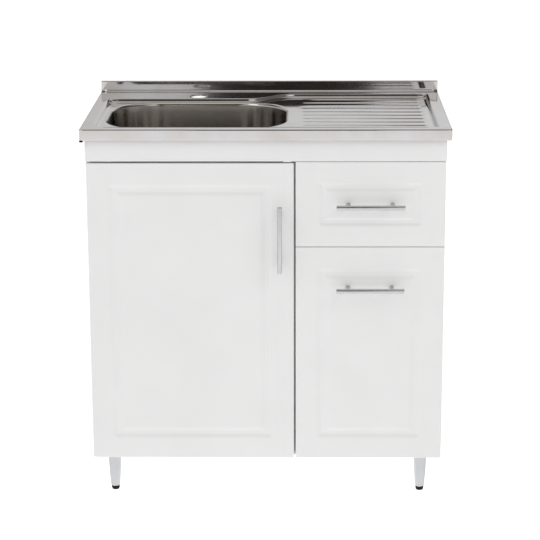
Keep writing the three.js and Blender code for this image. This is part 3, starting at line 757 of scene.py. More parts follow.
class Workshop:
    """Where pieces are made: it names, dresses, places and reports each one."""

    def __init__(self) -> None:
        """Starts with no material made yet."""
        self.materials: dict[Finish, bpy.types.Material] = {}

    def stand(self, name: str, mesh: bpy.types.Mesh, finish: Finish) -> bpy.types.Object:
        """Puts a mesh in the scene, in a finish that is made the first time it is asked for.

        Args:
            name: the object's name.
            mesh: its shape.
            finish: its surface.

        Returns:
            The object.
        """
        if finish not in self.materials:
            self.materials[finish] = finish.build()
        mesh.materials.clear()
        mesh.materials.append(self.materials[finish])
        made = bpy.data.objects.new(name, mesh)
        bpy.context.scene.collection.objects.link(made)
        return made

    def hand_over(self, made: bpy.types.Object, body: str, stands_for: Sequence[str]) -> None:
        """Sets a finished piece on its body and hides the plain solids that it stands for.

        Args:
            made: the piece.
            body: the moving body that carries it.
            stands_for: the plain solids that it replaces.
        """
        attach(made, body)
        if stands_for:
            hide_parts(*stands_for)
        log.info("%s on %s: %d faces", made.name, body, len(made.data.polygons))

    def piece(
        self,
        name: str,
        shell: Shell,
        finish: Finish,
        body: str,
        stands_for: Sequence[str] = (),
        wall: float = 0.0,
    ) -> None:
        """Makes one piece of the unit.

        Args:
            name: the piece's name.
            shell: its surface.
            finish: what it is dressed in.
            body: the moving body that carries it.
            stands_for: the plain solids that it replaces.
            wall: the sheet's thickness, where the surface is a bare sheet.
        """
        made = self.stand(name, shell.mesh(name), finish)
        if wall:
            thicken = made.modifiers.new("sheet", "SOLIDIFY")
            thicken.thickness = wall * MM
            thicken.offset = -1.0
        self.hand_over(made, body, stands_for)

    def eased_copy(
        self,
        node: str,
        ending: str,
        finish: Finish,
        body: str,
        edge: float,
        raw: Triple | None = None,
    ) -> None:
        """Makes a piece from a copy of a plain solid, with its doubles merged and its edges broken.

        Args:
            node: the plain solid.
            ending: what its name gets at its end.
            finish: what it is dressed in.
            body: the body that carries it.
            edge: the width of the broken edges.
            raw: the direction that its sawn faces look in.
        """
        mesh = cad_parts[node].data.copy()
        mesh.name = f"{node}_eased"
        work = bmesh.new()
        work.from_mesh(mesh)
        bmesh.ops.remove_doubles(work, verts=work.verts, dist=DOUBLES)
        bmesh.ops.dissolve_limit(work, angle_limit=FLAT_ANGLE, verts=work.verts, edges=work.edges)
        work.to_mesh(mesh)
        work.free()
        if raw is not None:
            normals = np.empty(3 * len(mesh.polygons), np.float32)
            mesh.polygons.foreach_get("normal", normals)
            sawn = mesh.attributes.new(WORKED, "FLOAT", "FACE")
            sawn.data.foreach_set("value", (normals.reshape(-1, 3) @ np.array(raw) > 0.9).astype(np.float32))
        mesh.shade_smooth()
        mesh.set_sharp_from_angle(angle=SHARP_ANGLE)
        made = self.stand(f"{node}_{ending}", mesh, finish)
        bevel = made.modifiers.new("edges", "BEVEL")
        bevel.width = edge * MM
        bevel.segments = 2
        bevel.limit_method = "ANGLE"
        bevel.angle_limit = SHARP_ANGLE
        self.hand_over(made, body, [node])




# ---------------------------------------------------------------- steel top


@dataclass
class SinkTop:
    """The pressed top: rim, recess, tap ledge, bowl, drainer ribs, fascia and upstand."""

    shop: Workshop
    half_width: float = 400.0
    front: float = -240.0
    back: float = 260.0
    rim: float = 840.0
    sheet: float = 1.0
    fascia: float = 25.0
    edge_round: float = 3.0
    fold_round: float = 2.4
    hem: float = 9.0
    corner: float = 6.0
    recess: float = 7.0
    recess_side: float = 375.0
    recess_front: float = -213.0
    slope: Pair = (12.5, 3.8)
    recess_corner: float = 2.7
    ledge: Pair = (151.0, 217.0)
    ledge_curve: Pair = (-54.0, 66.0)
    back_lines: Pair = (250.0, 257.0)
    bowl_middle: Pair = (-155.0, -31.0)
    bowl_half: Pair = (197.0, 165.0)
    bowl_block: tuple[float, float, float, float] = (-362.0, 52.0, -203.0, 143.0)
    bowl_corner: float = 110.0
    bowl_edge: float = 6.0
    bowl_floor: float = 690.0
    bowl_floor_round: float = 28.0
    bowl_draft: float = 8.0
    level_rings: int = 7
    waste_hole: float = 45.0
    tap_hole: Triple = (-164.0, 181.0, 17.5)
    tap_block: float = 26.0
    tap_edge: float = 2.0
    rib_span: Pair = (66.0, 353.0)
    rib_first: float = -199.0
    rib_pitch: float = 41.5
    rib_count: int = 10
    rib_width: float = 16.0
    rib_heights: Pair = (0.7, 1.6)
    rib_ends: Pair = (46.0, 9.0)
    upstand: Pair = (254.0, 865.0)
    upstand_edge: float = 2.3
    upstand_foot: float = 1.4
    fillet: Pair = (5.0, 4.6)

    def ledge_blend(self, x: Array) -> Array:
        """How far the recess's back edge has moved from its place behind the bowl to that behind the drainer.

        It is the height of a cubic curve with level ends, read at x.

        Args:
            x: places along the top.

        Returns:
            0 behind the bowl to 1 behind the drainer.
        """
        t = np.linspace(0, 1, 200)
        start, end = self.ledge_curve
        middle = (start + end) / 2
        across = (1 - t) ** 3 * start + 3 * t * (1 - t) * middle + t**3 * end
        return np.interp(x, across, 3 * t**2 - 2 * t**3)

    def rib_middles(self) -> Array:
        """Where the ribs' middle lines run, evenly spaced from the first one."""
        return self.rib_first + self.rib_pitch * np.arange(self.rib_count)

    def height(self, x: Array, y: Array) -> Array:
        """The pressing's height at each place of its plan.

        How far a place lies inside the recess is measured in slope widths from each side. Near a corner
        the two measures join in an arc. The deck then falls by the recess depth in an eased slope. Each
        rib is an eased bump across its own middle line, which rises slowly from the bowl's side, grows
        towards the far end and stops there in a blunt round tip.

        Args:
            x, y: places in plan.

        Returns:
            Heights above the floor.
        """
        back = self.ledge[0] + (self.ledge[1] - self.ledge[0]) * self.ledge_blend(x)
        side_in = (self.recess_side - np.abs(x)) / self.slope[0]
        end_in = np.minimum(y - self.recess_front, back - y) / self.slope[1]
        reach = self.recess_corner
        arc = reach - np.hypot(reach - side_in, reach - end_in)
        inside = np.where((side_in < reach) & (end_in < reach), arc, np.minimum(side_in, end_in))
        fall = self.recess * eased(inside)
        off_line = np.abs(y[..., None] - self.rib_middles()).min(axis=-1)
        start, end = self.rib_span
        fade, tip = self.rib_ends
        past_tip = np.maximum(0, x - end + tip) / tip
        across = eased(1 - np.hypot(off_line / (self.rib_width / 2), past_tip))
        along = eased((x - start) / fade)
        low, high = self.rib_heights
        bead = (low + (high - low) * (x - start) / (end - start)) * along * across
        return self.rim - fall + bead

    def columns(self) -> Array:
        """The plan grid's lines from left to right.

        They are close together on slopes, round openings and at the ribs' ends.

        Returns:
            Places along the top.
        """
        width, side, foot = self.half_width - self.corner, self.recess_side, self.recess_side - self.slope[0]
        hole_left, hole_right = self.tap_hole[0] - self.tap_block, self.tap_hole[0] + self.tap_block
        bowl_left, bowl_right = self.bowl_block[:2]
        curve_left, (rib_left, rib_right) = self.ledge_curve[0], self.rib_span
        bowl_turn, rib_end = bowl_left + 22, 16
        return stops(
            (-width, -side, 4), (-side, -foot, 8), (-foot, bowl_left, 1), (bowl_left, bowl_turn, 11),
            (bowl_turn, hole_left, 18), (hole_left, hole_right, 14), (hole_right, curve_left, 14),
            (curve_left, bowl_right, 42), (bowl_right, rib_left, 6), (rib_left, rib_left + rib_end, 9),
            (rib_left + rib_end, rib_right - rib_end, 16), (rib_right - rib_end, rib_right, 9),
            (rib_right, foot, 5), (foot, side, 8), (side, width, 4),
        )  # fmt: skip

    def plan(self) -> tuple[Array, tuple[Block, Block]]:
        """The pressing's plan grid, and the blocks of cells that the bowl and the tap hole take.

        Columns are straight. Rows are straight in front of the ledge, and from there to the back each
        one bends with the ledge: its place behind the bowl, plus the ledge's bend times the difference
        to its place behind the drainer.

        Returns:
            The grid of plan points, and the two blocks.
        """
        columns = self.columns()
        bowl_left, bowl_right, bowl_front, bowl_back = self.bowl_block
        middles, half = self.rib_middles(), self.rib_width / 2
        ribs: list[Span] = []
        for middle in middles[:-1]:
            ribs += [(ribs[-1][1], middle - half, 4)] if ribs else []
            ribs += [(middle - half, middle + half, 8)]
        start = self.recess_front
        straight = stops(
            (self.front + self.corner, start, 4), (start, start + 6, 10), *ribs, (ribs[-1][1], bowl_back, 1)
        )
        (left, right), run, last = self.ledge, self.slope[1], middles[-1]
        turn, (foot, hidden) = self.recess_corner * run, self.back_lines
        tap_x, tap_y, _ = self.tap_hole
        low, high = tap_y - self.tap_block, tap_y + self.tap_block
        before_tap: list[Span] = [(bowl_back, left - run, 22), (left - run, left, 12), (left, low, 2)]
        tap: Span = (low, high, 14)
        bent_left = stops(*before_tap, tap, (high, foot, 5), (foot, hidden, 1))[1:]
        bent_right = stops(
            (bowl_back, last - half, 4), (last - half, last + half, 8), (last + half, right - turn, 3),
            (right - turn, right - run, 7), (right - run, right, 12), (right, right + 3, 2),
            (right + 3, right + 26, 14), (right + 26, foot, 5), (foot, hidden, 1),
        )[1:]  # fmt: skip
        rows_left = np.concatenate([straight, bent_left])[:, None]
        rows_right = np.concatenate([straight, bent_right])[:, None]
        y = rows_left + (rows_right - rows_left) * self.ledge_blend(columns)
        grid = np.stack([np.broadcast_to(columns, y.shape), y], axis=-1)
        bowl = (
            nearest(straight, bowl_front), nearest(straight, bowl_back),
            nearest(columns, bowl_left), nearest(columns, bowl_right),
        )  # fmt: skip
        first = len(straight) - 1 + sum(parts for _, _, parts in before_tap)
        sides = (nearest(columns, tap_x - self.tap_block), nearest(columns, tap_x + self.tap_block))
        return grid, (bowl, (first, first + tap[2], *sides))

    def raised(self, plan: Array) -> Array:
        """Plan points lifted to the pressing's height."""
        return np.concatenate([plan, self.height(plan[..., 0], plan[..., 1])[..., None]], axis=-1)

    def bowl_rings(self, edge: Array) -> Array:
        """The bowl, from the block's border down to the waste hole.

        A border point becomes a point of the core rectangle plus a direction. Each ring is the core plus
        that direction times its own radius: level to the rolled edge, round the quarter roll, down the
        drafted wall, round the floor radius, then over the floor while the core shrinks to a point.

        Args:
            edge: the border's points in plan.

        Returns:
            Rings of points.
        """
        middle = np.array(self.bowl_middle)
        off = edge - middle
        core_half = np.array(self.bowl_half) - self.bowl_corner
        core = np.clip(off, -core_half, core_half)
        out = unit(off - core)
        level = self.rim - self.recess
        roll, bend, wall = np.linspace(0, QUARTER, 7), np.linspace(0, QUARTER, 9), np.linspace(0, 1, 9)[1:-1]
        wall_top, wall_foot = level - self.bowl_edge, self.bowl_floor + self.bowl_floor_round
        inset = np.concatenate([
            -self.bowl_edge * (1 - np.sin(roll)),
            self.bowl_draft * wall,
            self.bowl_draft + self.bowl_floor_round * (1 - np.cos(bend)),
        ])
        heights = np.concatenate([
            level - self.bowl_edge * (1 - np.cos(roll)),
            wall_top + (wall_foot - wall_top) * wall,
            wall_foot - self.bowl_floor_round * np.sin(bend),
        ])
        rings = lifted(middle + core + out * (self.bowl_corner - inset)[:, None, None], heights)
        share = np.linspace(0, 1, 8)[1:, None, None]
        foot_radius = self.bowl_corner - inset[-1]
        floor = middle + core * (1 - share) + out * (foot_radius + (self.waste_hole - foot_radius) * share)
        flat = between(edge, rings[0, :, :2], self.level_rings - 1, last=-1)
        return np.concatenate([self.raised(flat), rings, lifted(floor, np.full(len(floor), self.bowl_floor))])

    def tap_rings(self, edge: Array) -> Array:
        """The tap hole, from the block's border to its rolled-down edge: a quarter circle in section.

        Args:
            edge: the border's points in plan.

        Returns:
            Rings of points.
        """
        middle, radius = np.array(self.tap_hole[:2]), self.tap_hole[2]
        out = unit(edge - middle)
        roll = np.linspace(0, QUARTER, 5)
        flat = between(edge, middle + out * (radius + self.tap_edge), 3, last=-1)
        rings = middle + out * (radius + self.tap_edge * (1 - np.sin(roll)))[:, None, None]
        heights = self.rim - self.tap_edge * (1 - np.cos(roll))
        return np.concatenate([self.raised(flat), lifted(rings, heights)])

    def skirt(self, grid: Array) -> Array:
        """The edge round, fascia and folded hem, carried along the front and both sides.

        The path is the deck grid's border, with a fan of directions at each front corner. A profile point
        nearer to the outside than the corner radius stands that much out along the direction, and one
        further in moves the path itself inwards.

        Args:
            grid: the deck's plan grid.

        Returns:
            A grid with a row for each point of the profile.
        """
        left, front, right = grid[::-1, 0], grid[0, :], grid[:, -1]
        turn = np.linspace(0, QUARTER, 8)[1:-1]
        fan_left = np.stack([-np.cos(turn), -np.sin(turn)], axis=-1)
        fan_right = np.stack([np.sin(turn), -np.cos(turn)], axis=-1)
        left_way, front_way, right_way = (
            np.tile(way, (len(side), 1)) for way, side in (((-1, 0), left), ((0, -1), front), ((1, 0), right))
        )
        corners = [np.tile(front[end], (len(turn), 1)) for end in (0, -1)]
        base = np.concatenate([left, corners[0], front, corners[1], right])
        way = np.concatenate([left_way, fan_left, front_way, fan_right, right_way])
        bottom = self.rim - self.fascia
        profile = softened(
            [(self.hem, bottom), (0, bottom), (0, self.rim), (self.corner, self.rim)],
            [self.fold_round, self.edge_round], 7,
        )  # fmt: skip
        rows = []
        for inset in profile[:, 0]:
            inner = max(inset, self.corner)
            low = np.array([-self.half_width + inner, self.front + inner])
            high = np.array([self.half_width - inner, self.back + 1])
            rows.append(np.clip(base, low, high) + way * max(0.0, self.corner - inset))
        return lifted(np.stack(rows), profile[:, 1])

    def build(self) -> None:
        """Makes the pressing as one sheet, with the folded upstand at its back and a fillet at its foot."""
        grid, (bowl_block, tap_block) = self.plan()
        keep = np.ones((grid.shape[0] - 1, grid.shape[1] - 1), bool)
        for i0, i1, j0, j1 in (bowl_block, tap_block):
            keep[i0:i1, j0:j1] = False
        bowl = self.bowl_rings(border(grid, bowl_block))
        shell = Shell().add(self.raised(grid), keep=keep)
        shell.add(bowl[: self.level_rings], around=True)
        # The bowl's faces are marked: rougher, and darker and browner by painted shade.
        shell.add(bowl[self.level_rings - 1 :], around=True, mark=1.0)
        shell.add(self.tap_rings(border(grid, tap_block)), around=True)
        shell.add(self.skirt(grid))
        (wall, top), (reach, cut), half = self.upstand, self.fillet, self.half_width
        foot, face = self.rim + 0.02, wall + 0.1
        fillet = softened([(wall - reach, foot), (face, foot), (face, self.rim + reach)], [cut])
        shell.add(drawn_out(fillet, stops((-half + 0.5, half - 0.5, 60)), Axis.X))
        low = (-half, wall, self.rim - self.upstand_foot)
        shell.add_block(low, (half, self.back, top), self.upstand_edge, turns=4)
        self.shop.piece("sink_top_pressing", shell, STEEL, CABINET, ["sink_top"], self.sheet)


@dataclass
class BowlWaste:
    """The waste in the bowl's floor: flanged cup with its outlet, gasket, locknut and lift-out strainer."""

    shop: Workshop
    middle: Triple = (-155.0, -31.0, 0.0)
    floor: float = 690.0
    plate_top: float = 685.6
    plate_reach: float = 41.1
    plate: float = 1.5
    strainer_rings: tuple[tuple[int, float], ...] = ((6, 17.0), (12, 29.0))
    hole: float = 3.2
    spokes: int = 144

    def cup(self) -> None:
        """The cup: flange, sloping lip, strainer seat, tapered bottom and tail, turned from one profile."""
        outside = softened(
            [
                (21, 602), (21, 634), (43.5, 640), (43.5, 690.1), (56, 690.1), (56, 692.3), (44.5, 692.3),
                (41.5, 689.3),
            ],
            [3, 4, 0.3, 0.3, 1.0, 1.2], 5,
        )  # fmt: skip
        inside = softened(
            [
                (41.5, 689.3), (41.5, 684), (38, 684), (38, 682), (41.5, 680), (41.5, 642), (19, 636),
                (19, 602),
            ],
            [0.4, 0.5, 0.4, 0.4, 3, 2], 4,
        )  # fmt: skip
        shell = Shell().add_turned(np.concatenate([outside, inside[1:], [[21, 602]]]), self.middle, sides=96)
        self.shop.piece("waste_cup", shell, STEEL, CABINET, ["waste_body"])

    def gasket(self) -> None:
        """The soft ring between the bowl and the locknut, with rounded rims."""
        low, high = self.floor - 3.1, self.floor - 1.1
        corners = [(50, low), (54.2, low), (54.2, high), (44.3, high), (44.3, low), (50, low)]
        shell = Shell().add_turned(softened(corners, [0.6, 0.6, 0.4, 0.4], 4), self.middle, sides=72)
        self.shop.piece("waste_gasket_ring", shell, GREY_RUBBER, CABINET, ["waste_gasket"])

    def strainer(self) -> None:
        """The strainer plate, punched in two rings.

        The plate is a grid of rings and spokes. A block of cells round each hole gives way to a patch
        from the block's border to the hole's circle.
        """
        reach, top = self.plate_reach, self.plate_top
        angle = np.linspace(0, FULL_TURN, self.spokes + 1)
        rings = stops(
            (reach, 40.2, 1), (40.2, 34, 3), (34, 24, 5), (24, 22.5, 1), (22.5, 11.5, 6), (11.5, 3, 3)
        )  # fmt: skip
        level = top - 0.9 * eased((rings - 39.6) / (reach - 39.6))
        middle = np.array(self.middle)
        plan = rings[:, None, None] * np.stack([np.cos(angle), np.sin(angle)], axis=-1)
        grid = lifted(plan, level) + middle
        keep = np.ones((len(rings) - 1, self.spokes), bool)
        shell = Shell()
        for (count, radius), (i0, i1) in zip(self.strainer_rings, ((10, 16), (4, 9))):
            for hole in range(count):
                j0 = hole * self.spokes // count + 1
                j1 = (hole + 1) * self.spokes // count - 1
                keep[i0:i1, j0:j1] = False
                turn = (hole + 0.5) / count * 2 * np.pi
                centre = np.array([radius * np.cos(turn), radius * np.sin(turn), top]) + middle
                edge = border(grid, (i0, i1, j0, j1))
                shell.add(between(edge, centre + unit(edge - centre) * self.hole, 2), around=True)
        shell.add(grid, keep=keep)
        self.shop.piece("strainer_disc", shell, STEEL, STRAINER, ["strainer_plate"], self.plate)

    def knob(self) -> None:
        """The strainer's turned knob."""
        top = self.plate_top
        seat, end = top - 0.8, top + 13
        corners = [(0, seat), (4.2, seat), (3.4, top + 6), (7, top + 9), (6.6, end), (0, end)]
        shell = Shell().add_turned(softened(corners, [0.3, 2.2, 1.6, 1.5], 5), self.middle)
        self.shop.piece("strainer_knob", shell, STEEL, STRAINER)

    def build(self) -> None:
        """Makes the parts."""
        self.cup()
        self.gasket()
        self.shop.eased_copy("waste_locknut", "ring", GREY_PLASTIC, CABINET, 0.6)
        self.strainer()
        self.knob()


# ---------------------------------------------------------------- cabinet


@dataclass
class Board:
    """One board of the carcass or of a drawer box, where its plain solid stands."""

    node: str
    body: str
    edge: float = 0.7
    raw: tuple[str, ...] = ()
    finish: Finish = BOARD

    def build(self, shop: Workshop) -> None:
        """Makes the board with broken edges, and marks the sides that were sawn and not edged."""
        shell = Shell().add_block(*cad_box(self.node), self.edge, self.raw)
        shop.piece(f"{self.node}_board", shell, self.finish, self.body, [self.node])


@dataclass
class Carcass:
    """Side panels, floor, rails, partition, back with its nails, foil-wrapped apron and corner buffer."""

    shop: Workshop
    apron_edge: float = 1.4
    nail_radius: float = 3.0
    nail_rise: float = 0.8
    nails_up: int = 6
    nail_ends: Pair = (24.0, 14.0)
    boards: tuple[Board, ...] = (
        Board("side_panel_left", CABINET, raw=("+y", "-z")),
        Board("side_panel_right", CABINET, raw=("+y", "-z")),
        Board("bottom_panel", CABINET, raw=("+y",)),
        Board("back_rail", CABINET, raw=("-z",)),
        Board("back_panel", CABINET, 0.5, ("+y",), HARDBOARD),
    )

    def build(self) -> None:
        """Makes each board, the notched partition, the apron, the buffer and the nails."""
        for board in self.boards:
            board.build(self.shop)
        self.shop.eased_copy("center_partition", "board", BOARD, CABINET, 0.6, (0.0, 1.0, 0.0))
        apron = Shell().add_block(*cad_box("apron_rail"), self.apron_edge, turns=4)
        self.shop.piece("apron_foil_rail", apron, FOIL, CABINET, ["apron_rail"])
        low, high = cad_box("corner_buffer")
        (x, y, _), radius = (low + high) / 2, (high[0] - low[0]) / 2
        pad = Shell().add_turned(capped(radius, low[2], high[2], (1.3, 0.6), 5), (x, y, 0), sides=40)
        self.shop.piece("corner_buffer_pad", pad, BLACK_RUBBER, CABINET, ["corner_buffer"])
        self.nails()

    def nails(self) -> None:
        """The flat-headed nails that hold the back to the upright boards, in one row up each board's edge."""
        (_, _, low), (_, face, high) = cad_box("back_panel")
        head, (first, last) = capped(self.nail_radius, -0.1, self.nail_rise, (0.05, 0.5), 4), self.nail_ends
        shell = Shell()
        for board in ("side_panel_left", "center_partition", "side_panel_right"):
            start, end = cad_box(board)
            for z in np.linspace(low + first, high - last, self.nails_up):
                shell.add_turned(head, ((start[0] + end[0]) / 2, face, z), Axis.Y, 20)
        self.shop.piece("back_panel_nails", shell, PLATED, CABINET)


@dataclass
class Leg:
    """One tapered leg of moulded plastic on a screw-in rubber foot."""

    shop: Workshop
    place: str
    foot_height: float = 11.0
    top: float = 91.0
    widths: Pair = (20.5, 28.6)
    belly: float = 1.8
    plate: float = 6.0
    squareness: float = 4.5
    round_sides: int = 56

    def leg(self, x: float, y: float) -> None:
        """The leg: square rings with round corners and full sides, under a thin plate, closed at both ends.

        The width at a height is the lower width plus the difference times one less the share of height
        left above it raised to a power, so that most of the taper is near the foot.

        Args:
            x, y: its middle in plan.
        """
        low, seam, top = self.foot_height, self.top - self.plate, self.top
        z = np.concatenate([
            [low, low, low + 0.4], np.linspace(low + 1.2, seam - 1.2, 14), [seam - 0.5, seam, seam + 0.5],
            [seam + 1.2, top - 0.5, top, top],
        ])  # fmt: skip
        left_above = np.clip((top - z) / (top - low), 0, 1)
        half = (self.widths[0] + (self.widths[1] - self.widths[0]) * (1 - left_above**self.belly)) / 2
        half[:3] -= (4.0, 1.0, 0.3)
        half[17:20] -= (0.3, 1.2, 0.3)
        half[-2:] -= (0.5, 4.5)
        half, z = np.pad(half, 1), np.pad(z, 1, mode="edge")
        angle, power = circle(64), self.squareness
        way = np.stack([np.cos(angle), np.sin(angle)], axis=-1)
        squircle = way / (np.abs(way) ** power).sum(axis=-1, keepdims=True) ** (1 / power)
        shell = Shell().add(lifted(np.array([x, y]) + squircle * half[:, None, None], z), around=True)
        self.shop.piece(f"leg_{self.place}_post", shell, LEG, CABINET, [f"leg_{self.place}"])

    def foot(self, x: float, y: float) -> None:
        """The foot: a low dome of rubber with a flat tread, turned, under a pale washer.

        Args:
            x, y: its middle in plan.
        """
        dome = softened([(0, 0), (7.5, 0), (9.4, 4.6), (9.2, 8.9), (0, 8.9)], [1.4, 2.4, 0.5], 6)
        pad = Shell().add_turned(dome, (x, y, 0), sides=self.round_sides)
        self.shop.piece(f"foot_{self.place}_pad", pad, BLACK_RUBBER, CABINET, [f"foot_{self.place}"])
        washer = Shell().add_turned(capped(8.4, 8.7, 11.1, (0.5, 0.5), 4), (x, y, 0), sides=self.round_sides)
        self.shop.piece(f"foot_{self.place}_washer", washer, WHITE_PLASTIC, CABINET)

    def build(self) -> None:
        """Makes the leg and its foot where the plain ones stand."""
        low, high = cad_box(f"leg_{self.place}")
        x, y, _ = (low + high) / 2
        self.leg(x, y)
        self.foot(x, y)


# ---------------------------------------------------------------- fronts, handles and hinges


@dataclass
class RoutedFront:
    """A fibreboard front with a routed frame groove and foil over all of its face.

    It has grown past its plain solid by so much below and above, and a minus makes it shorter there. So
    each gap is as wide as the photo's faint lines need.
    """

    shop: Workshop
    node: str
    body: str
    margin: Pair = (46.0, 46.0)
    groove: float = 27.0
    flat: float = 5.0
    depth: float = 1.9
    cutter: float = 9.0
    thick: float = 16.0
    edge: float = 1.6
    back_edge: float = 0.8
    middle: tuple[int, int] = (6, 8)
    cups: tuple[float, ...] = ()
    cup_radius: float = 17.8
    cup_depth: float = 13.3
    cup_middle: float = 20.5
    grown: Pair = (0.0, 0.0)

    def face_rows(self, margin: float) -> Array:
        """The section from the back's rim round the edge to the groove's inner side.

        Args:
            margin: how far the groove lies from the edge.

        Returns:
            Rows of inset from the outline, depth behind the face, and corner radius.
        """
        edge, back_edge, back = self.edge, self.back_edge, self.thick
        turn = np.linspace(0, QUARTER, 6)
        rear = np.stack([back_edge * (1 - np.sin(turn)), back - back_edge * (1 - np.cos(turn))], axis=-1)
        nose = np.stack([edge * (1 - np.cos(turn)), edge * (1 - np.sin(turn))], axis=-1)
        across = np.linspace(0, self.groove, 25)
        slope = (self.groove - self.flat) / 2
        dip = self.depth * eased(np.minimum(across, self.groove - across) / slope)
        land = [[edge * 2, 0.0], [margin - 2, 0.0]]
        last = [[margin + self.groove + 2, 0.0]]
        routed = np.stack([margin + across, dip], axis=-1)
        rows = np.concatenate([[[back_edge * 2.2, back]], rear, nose, land, routed, last])
        on_groove = np.clip(self.cutter - (rows[:, 0] - margin), 0, self.cutter)
        radius = np.where(rows[:, 0] <= edge * 2, np.maximum(edge - rows[:, 0], 0.2), on_groove)
        radius[0] = 0.0
        return np.concatenate([rows, radius[:, None]], axis=1)

    def patch(self, centre: Array, half: Array, y: float) -> Array:
        """A flat upright grid on the lines of the front's rings, by row up and by column to the right.

        Args:
            centre: its middle in X and Z.
            half: half its width and half its height.
            y: how far back it stands.

        Returns:
            The grid.
        """
        x, z = np.meshgrid(*(at + side_positions(*side) for at, *side in zip(centre, half, self.middle)))
        return np.stack([x, np.full(x.shape, y), z], axis=-1)

    def build(self) -> None:
        """Makes the front as rings from its back rim to its centre panel, closed by two flat patches."""
        low, high = cad_box(self.node)
        low[2] -= self.grown[0]
        high[2] += self.grown[1]
        half, centre = (high - low)[[0, 2]] / 2, (high + low)[[0, 2]] / 2
        wide, tall = (self.face_rows(margin) for margin in self.margin)
        loops = []
        for (inset_x, depth, radius), (inset_z, _, _) in zip(wide, tall):
            loop = centre + corner_loop((half[0] - inset_x, half[1] - inset_z), radius, self.middle)
            loops.append(np.insert(loop, 1, low[1] + depth, axis=1))
        shell = Shell().add(np.stack(loops), around=True)
        shell.add(self.patch(centre, half - (wide[-1, 0], tall[-1, 0]), low[1]))
        back = self.patch(centre, half - (wide[0, 0], tall[0, 0]), high[1]).transpose(1, 0, 2)
        keep = np.ones((back.shape[0] - 1, back.shape[1] - 1), bool)
        for height in self.cups:
            self.bore(shell, back, keep, low[0] + self.cup_middle, height)
        shell.add(back, keep=keep)
        self.shop.piece(f"{self.node}_panel", shell, FOIL, self.body, [self.node])

    def bore(self, shell: Shell, grid: Array, keep: Array, x: float, z: float) -> None:
        """Bores the round pocket of a hinge cup in the front's back.

        The pocket's patch runs from the border of a block of cells to the circle, along the line from
        the circle's middle, then down its wall to its floor. The circle has three points to each one of
        the border, which is repeated as often. A coarse border would let the faces cut across the circle.

        Args:
            shell: the front's surface, which the pocket joins.
            grid: the back's points, by row to the right and by column up.
            keep: the back's cells that have a face. The pocket's block is taken out of it.
            x, z: the pocket's middle.
        """
        columns, rows = grid[0, :, 2], grid[:, 0, 0]
        reach = self.cup_radius + 0.6
        j0, j1 = int(np.searchsorted(columns, z - reach)) - 1, int(np.searchsorted(columns, z + reach))
        i0, i1 = max(int(np.searchsorted(rows, x - reach)) - 1, 0), int(np.searchsorted(rows, x + reach))
        keep[i0:i1, j0:j1] = False
        edge = border(grid, (i0, i1, j0, j1))
        finer = between(edge, np.roll(edge, -1, axis=0), 3, last=-1).transpose(1, 0, 2).reshape(-1, 3)
        centre = np.array([x, grid[0, 0, 1], z])
        rim = centre + unit(finer - centre) * self.cup_radius
        deep = np.array([0, -self.cup_depth, 0])
        outer = np.roll(np.repeat(edge, 3, axis=0), -1, axis=0)
        rings = [outer, rim, rim + deep, np.broadcast_to(centre + deep, rim.shape)]
        shell.add(np.stack(rings), around=True)


@dataclass
class BarHandle:
    """A brushed bar on two turned posts."""

    shop: Workshop
    name: str
    body: str
    axis: Axis
    chamfer: float = 1.3
    post: float = 4.0
    post_foot: float = 4.9

    def build(self) -> None:
        """Turns the bar and its posts where the plain ones are."""
        low, high = cad_box(f"{self.name}_bar")
        middle, size = (low + high) / 2, high - low
        half, radius = size[self.axis.place] / 2, size[1] / 2
        profile = capped(radius, -half, half, (self.chamfer, self.chamfer), 4)
        bar = Shell().add_turned(profile, middle, self.axis, 64)
        self.shop.piece(f"{self.name}_rod", bar, BARS[self.axis], self.body, [f"{self.name}_bar"])
        thin, wide, start = self.post, self.post_foot, middle[1]
        for end in (1, 2):
            node = f"{self.name}_post_{end}"
            low, high = cad_box(node)
            (x, _, z), seat = (low + high) / 2, high[1]
            corners = [
                (0, start), (thin, start), (thin, seat - 2.2), (wide, seat - 1.4), (wide, seat), (0, seat),
            ]  # fmt: skip
            stud = Shell().add_turned(softened(corners, [0.3, 0.6, 0.5, 0.2], 3), (x, 0, z), Axis.Y, 40)
            self.shop.piece(f"{self.name}_stud_{end}", stud, BARS[Axis.Y], self.body, [node])


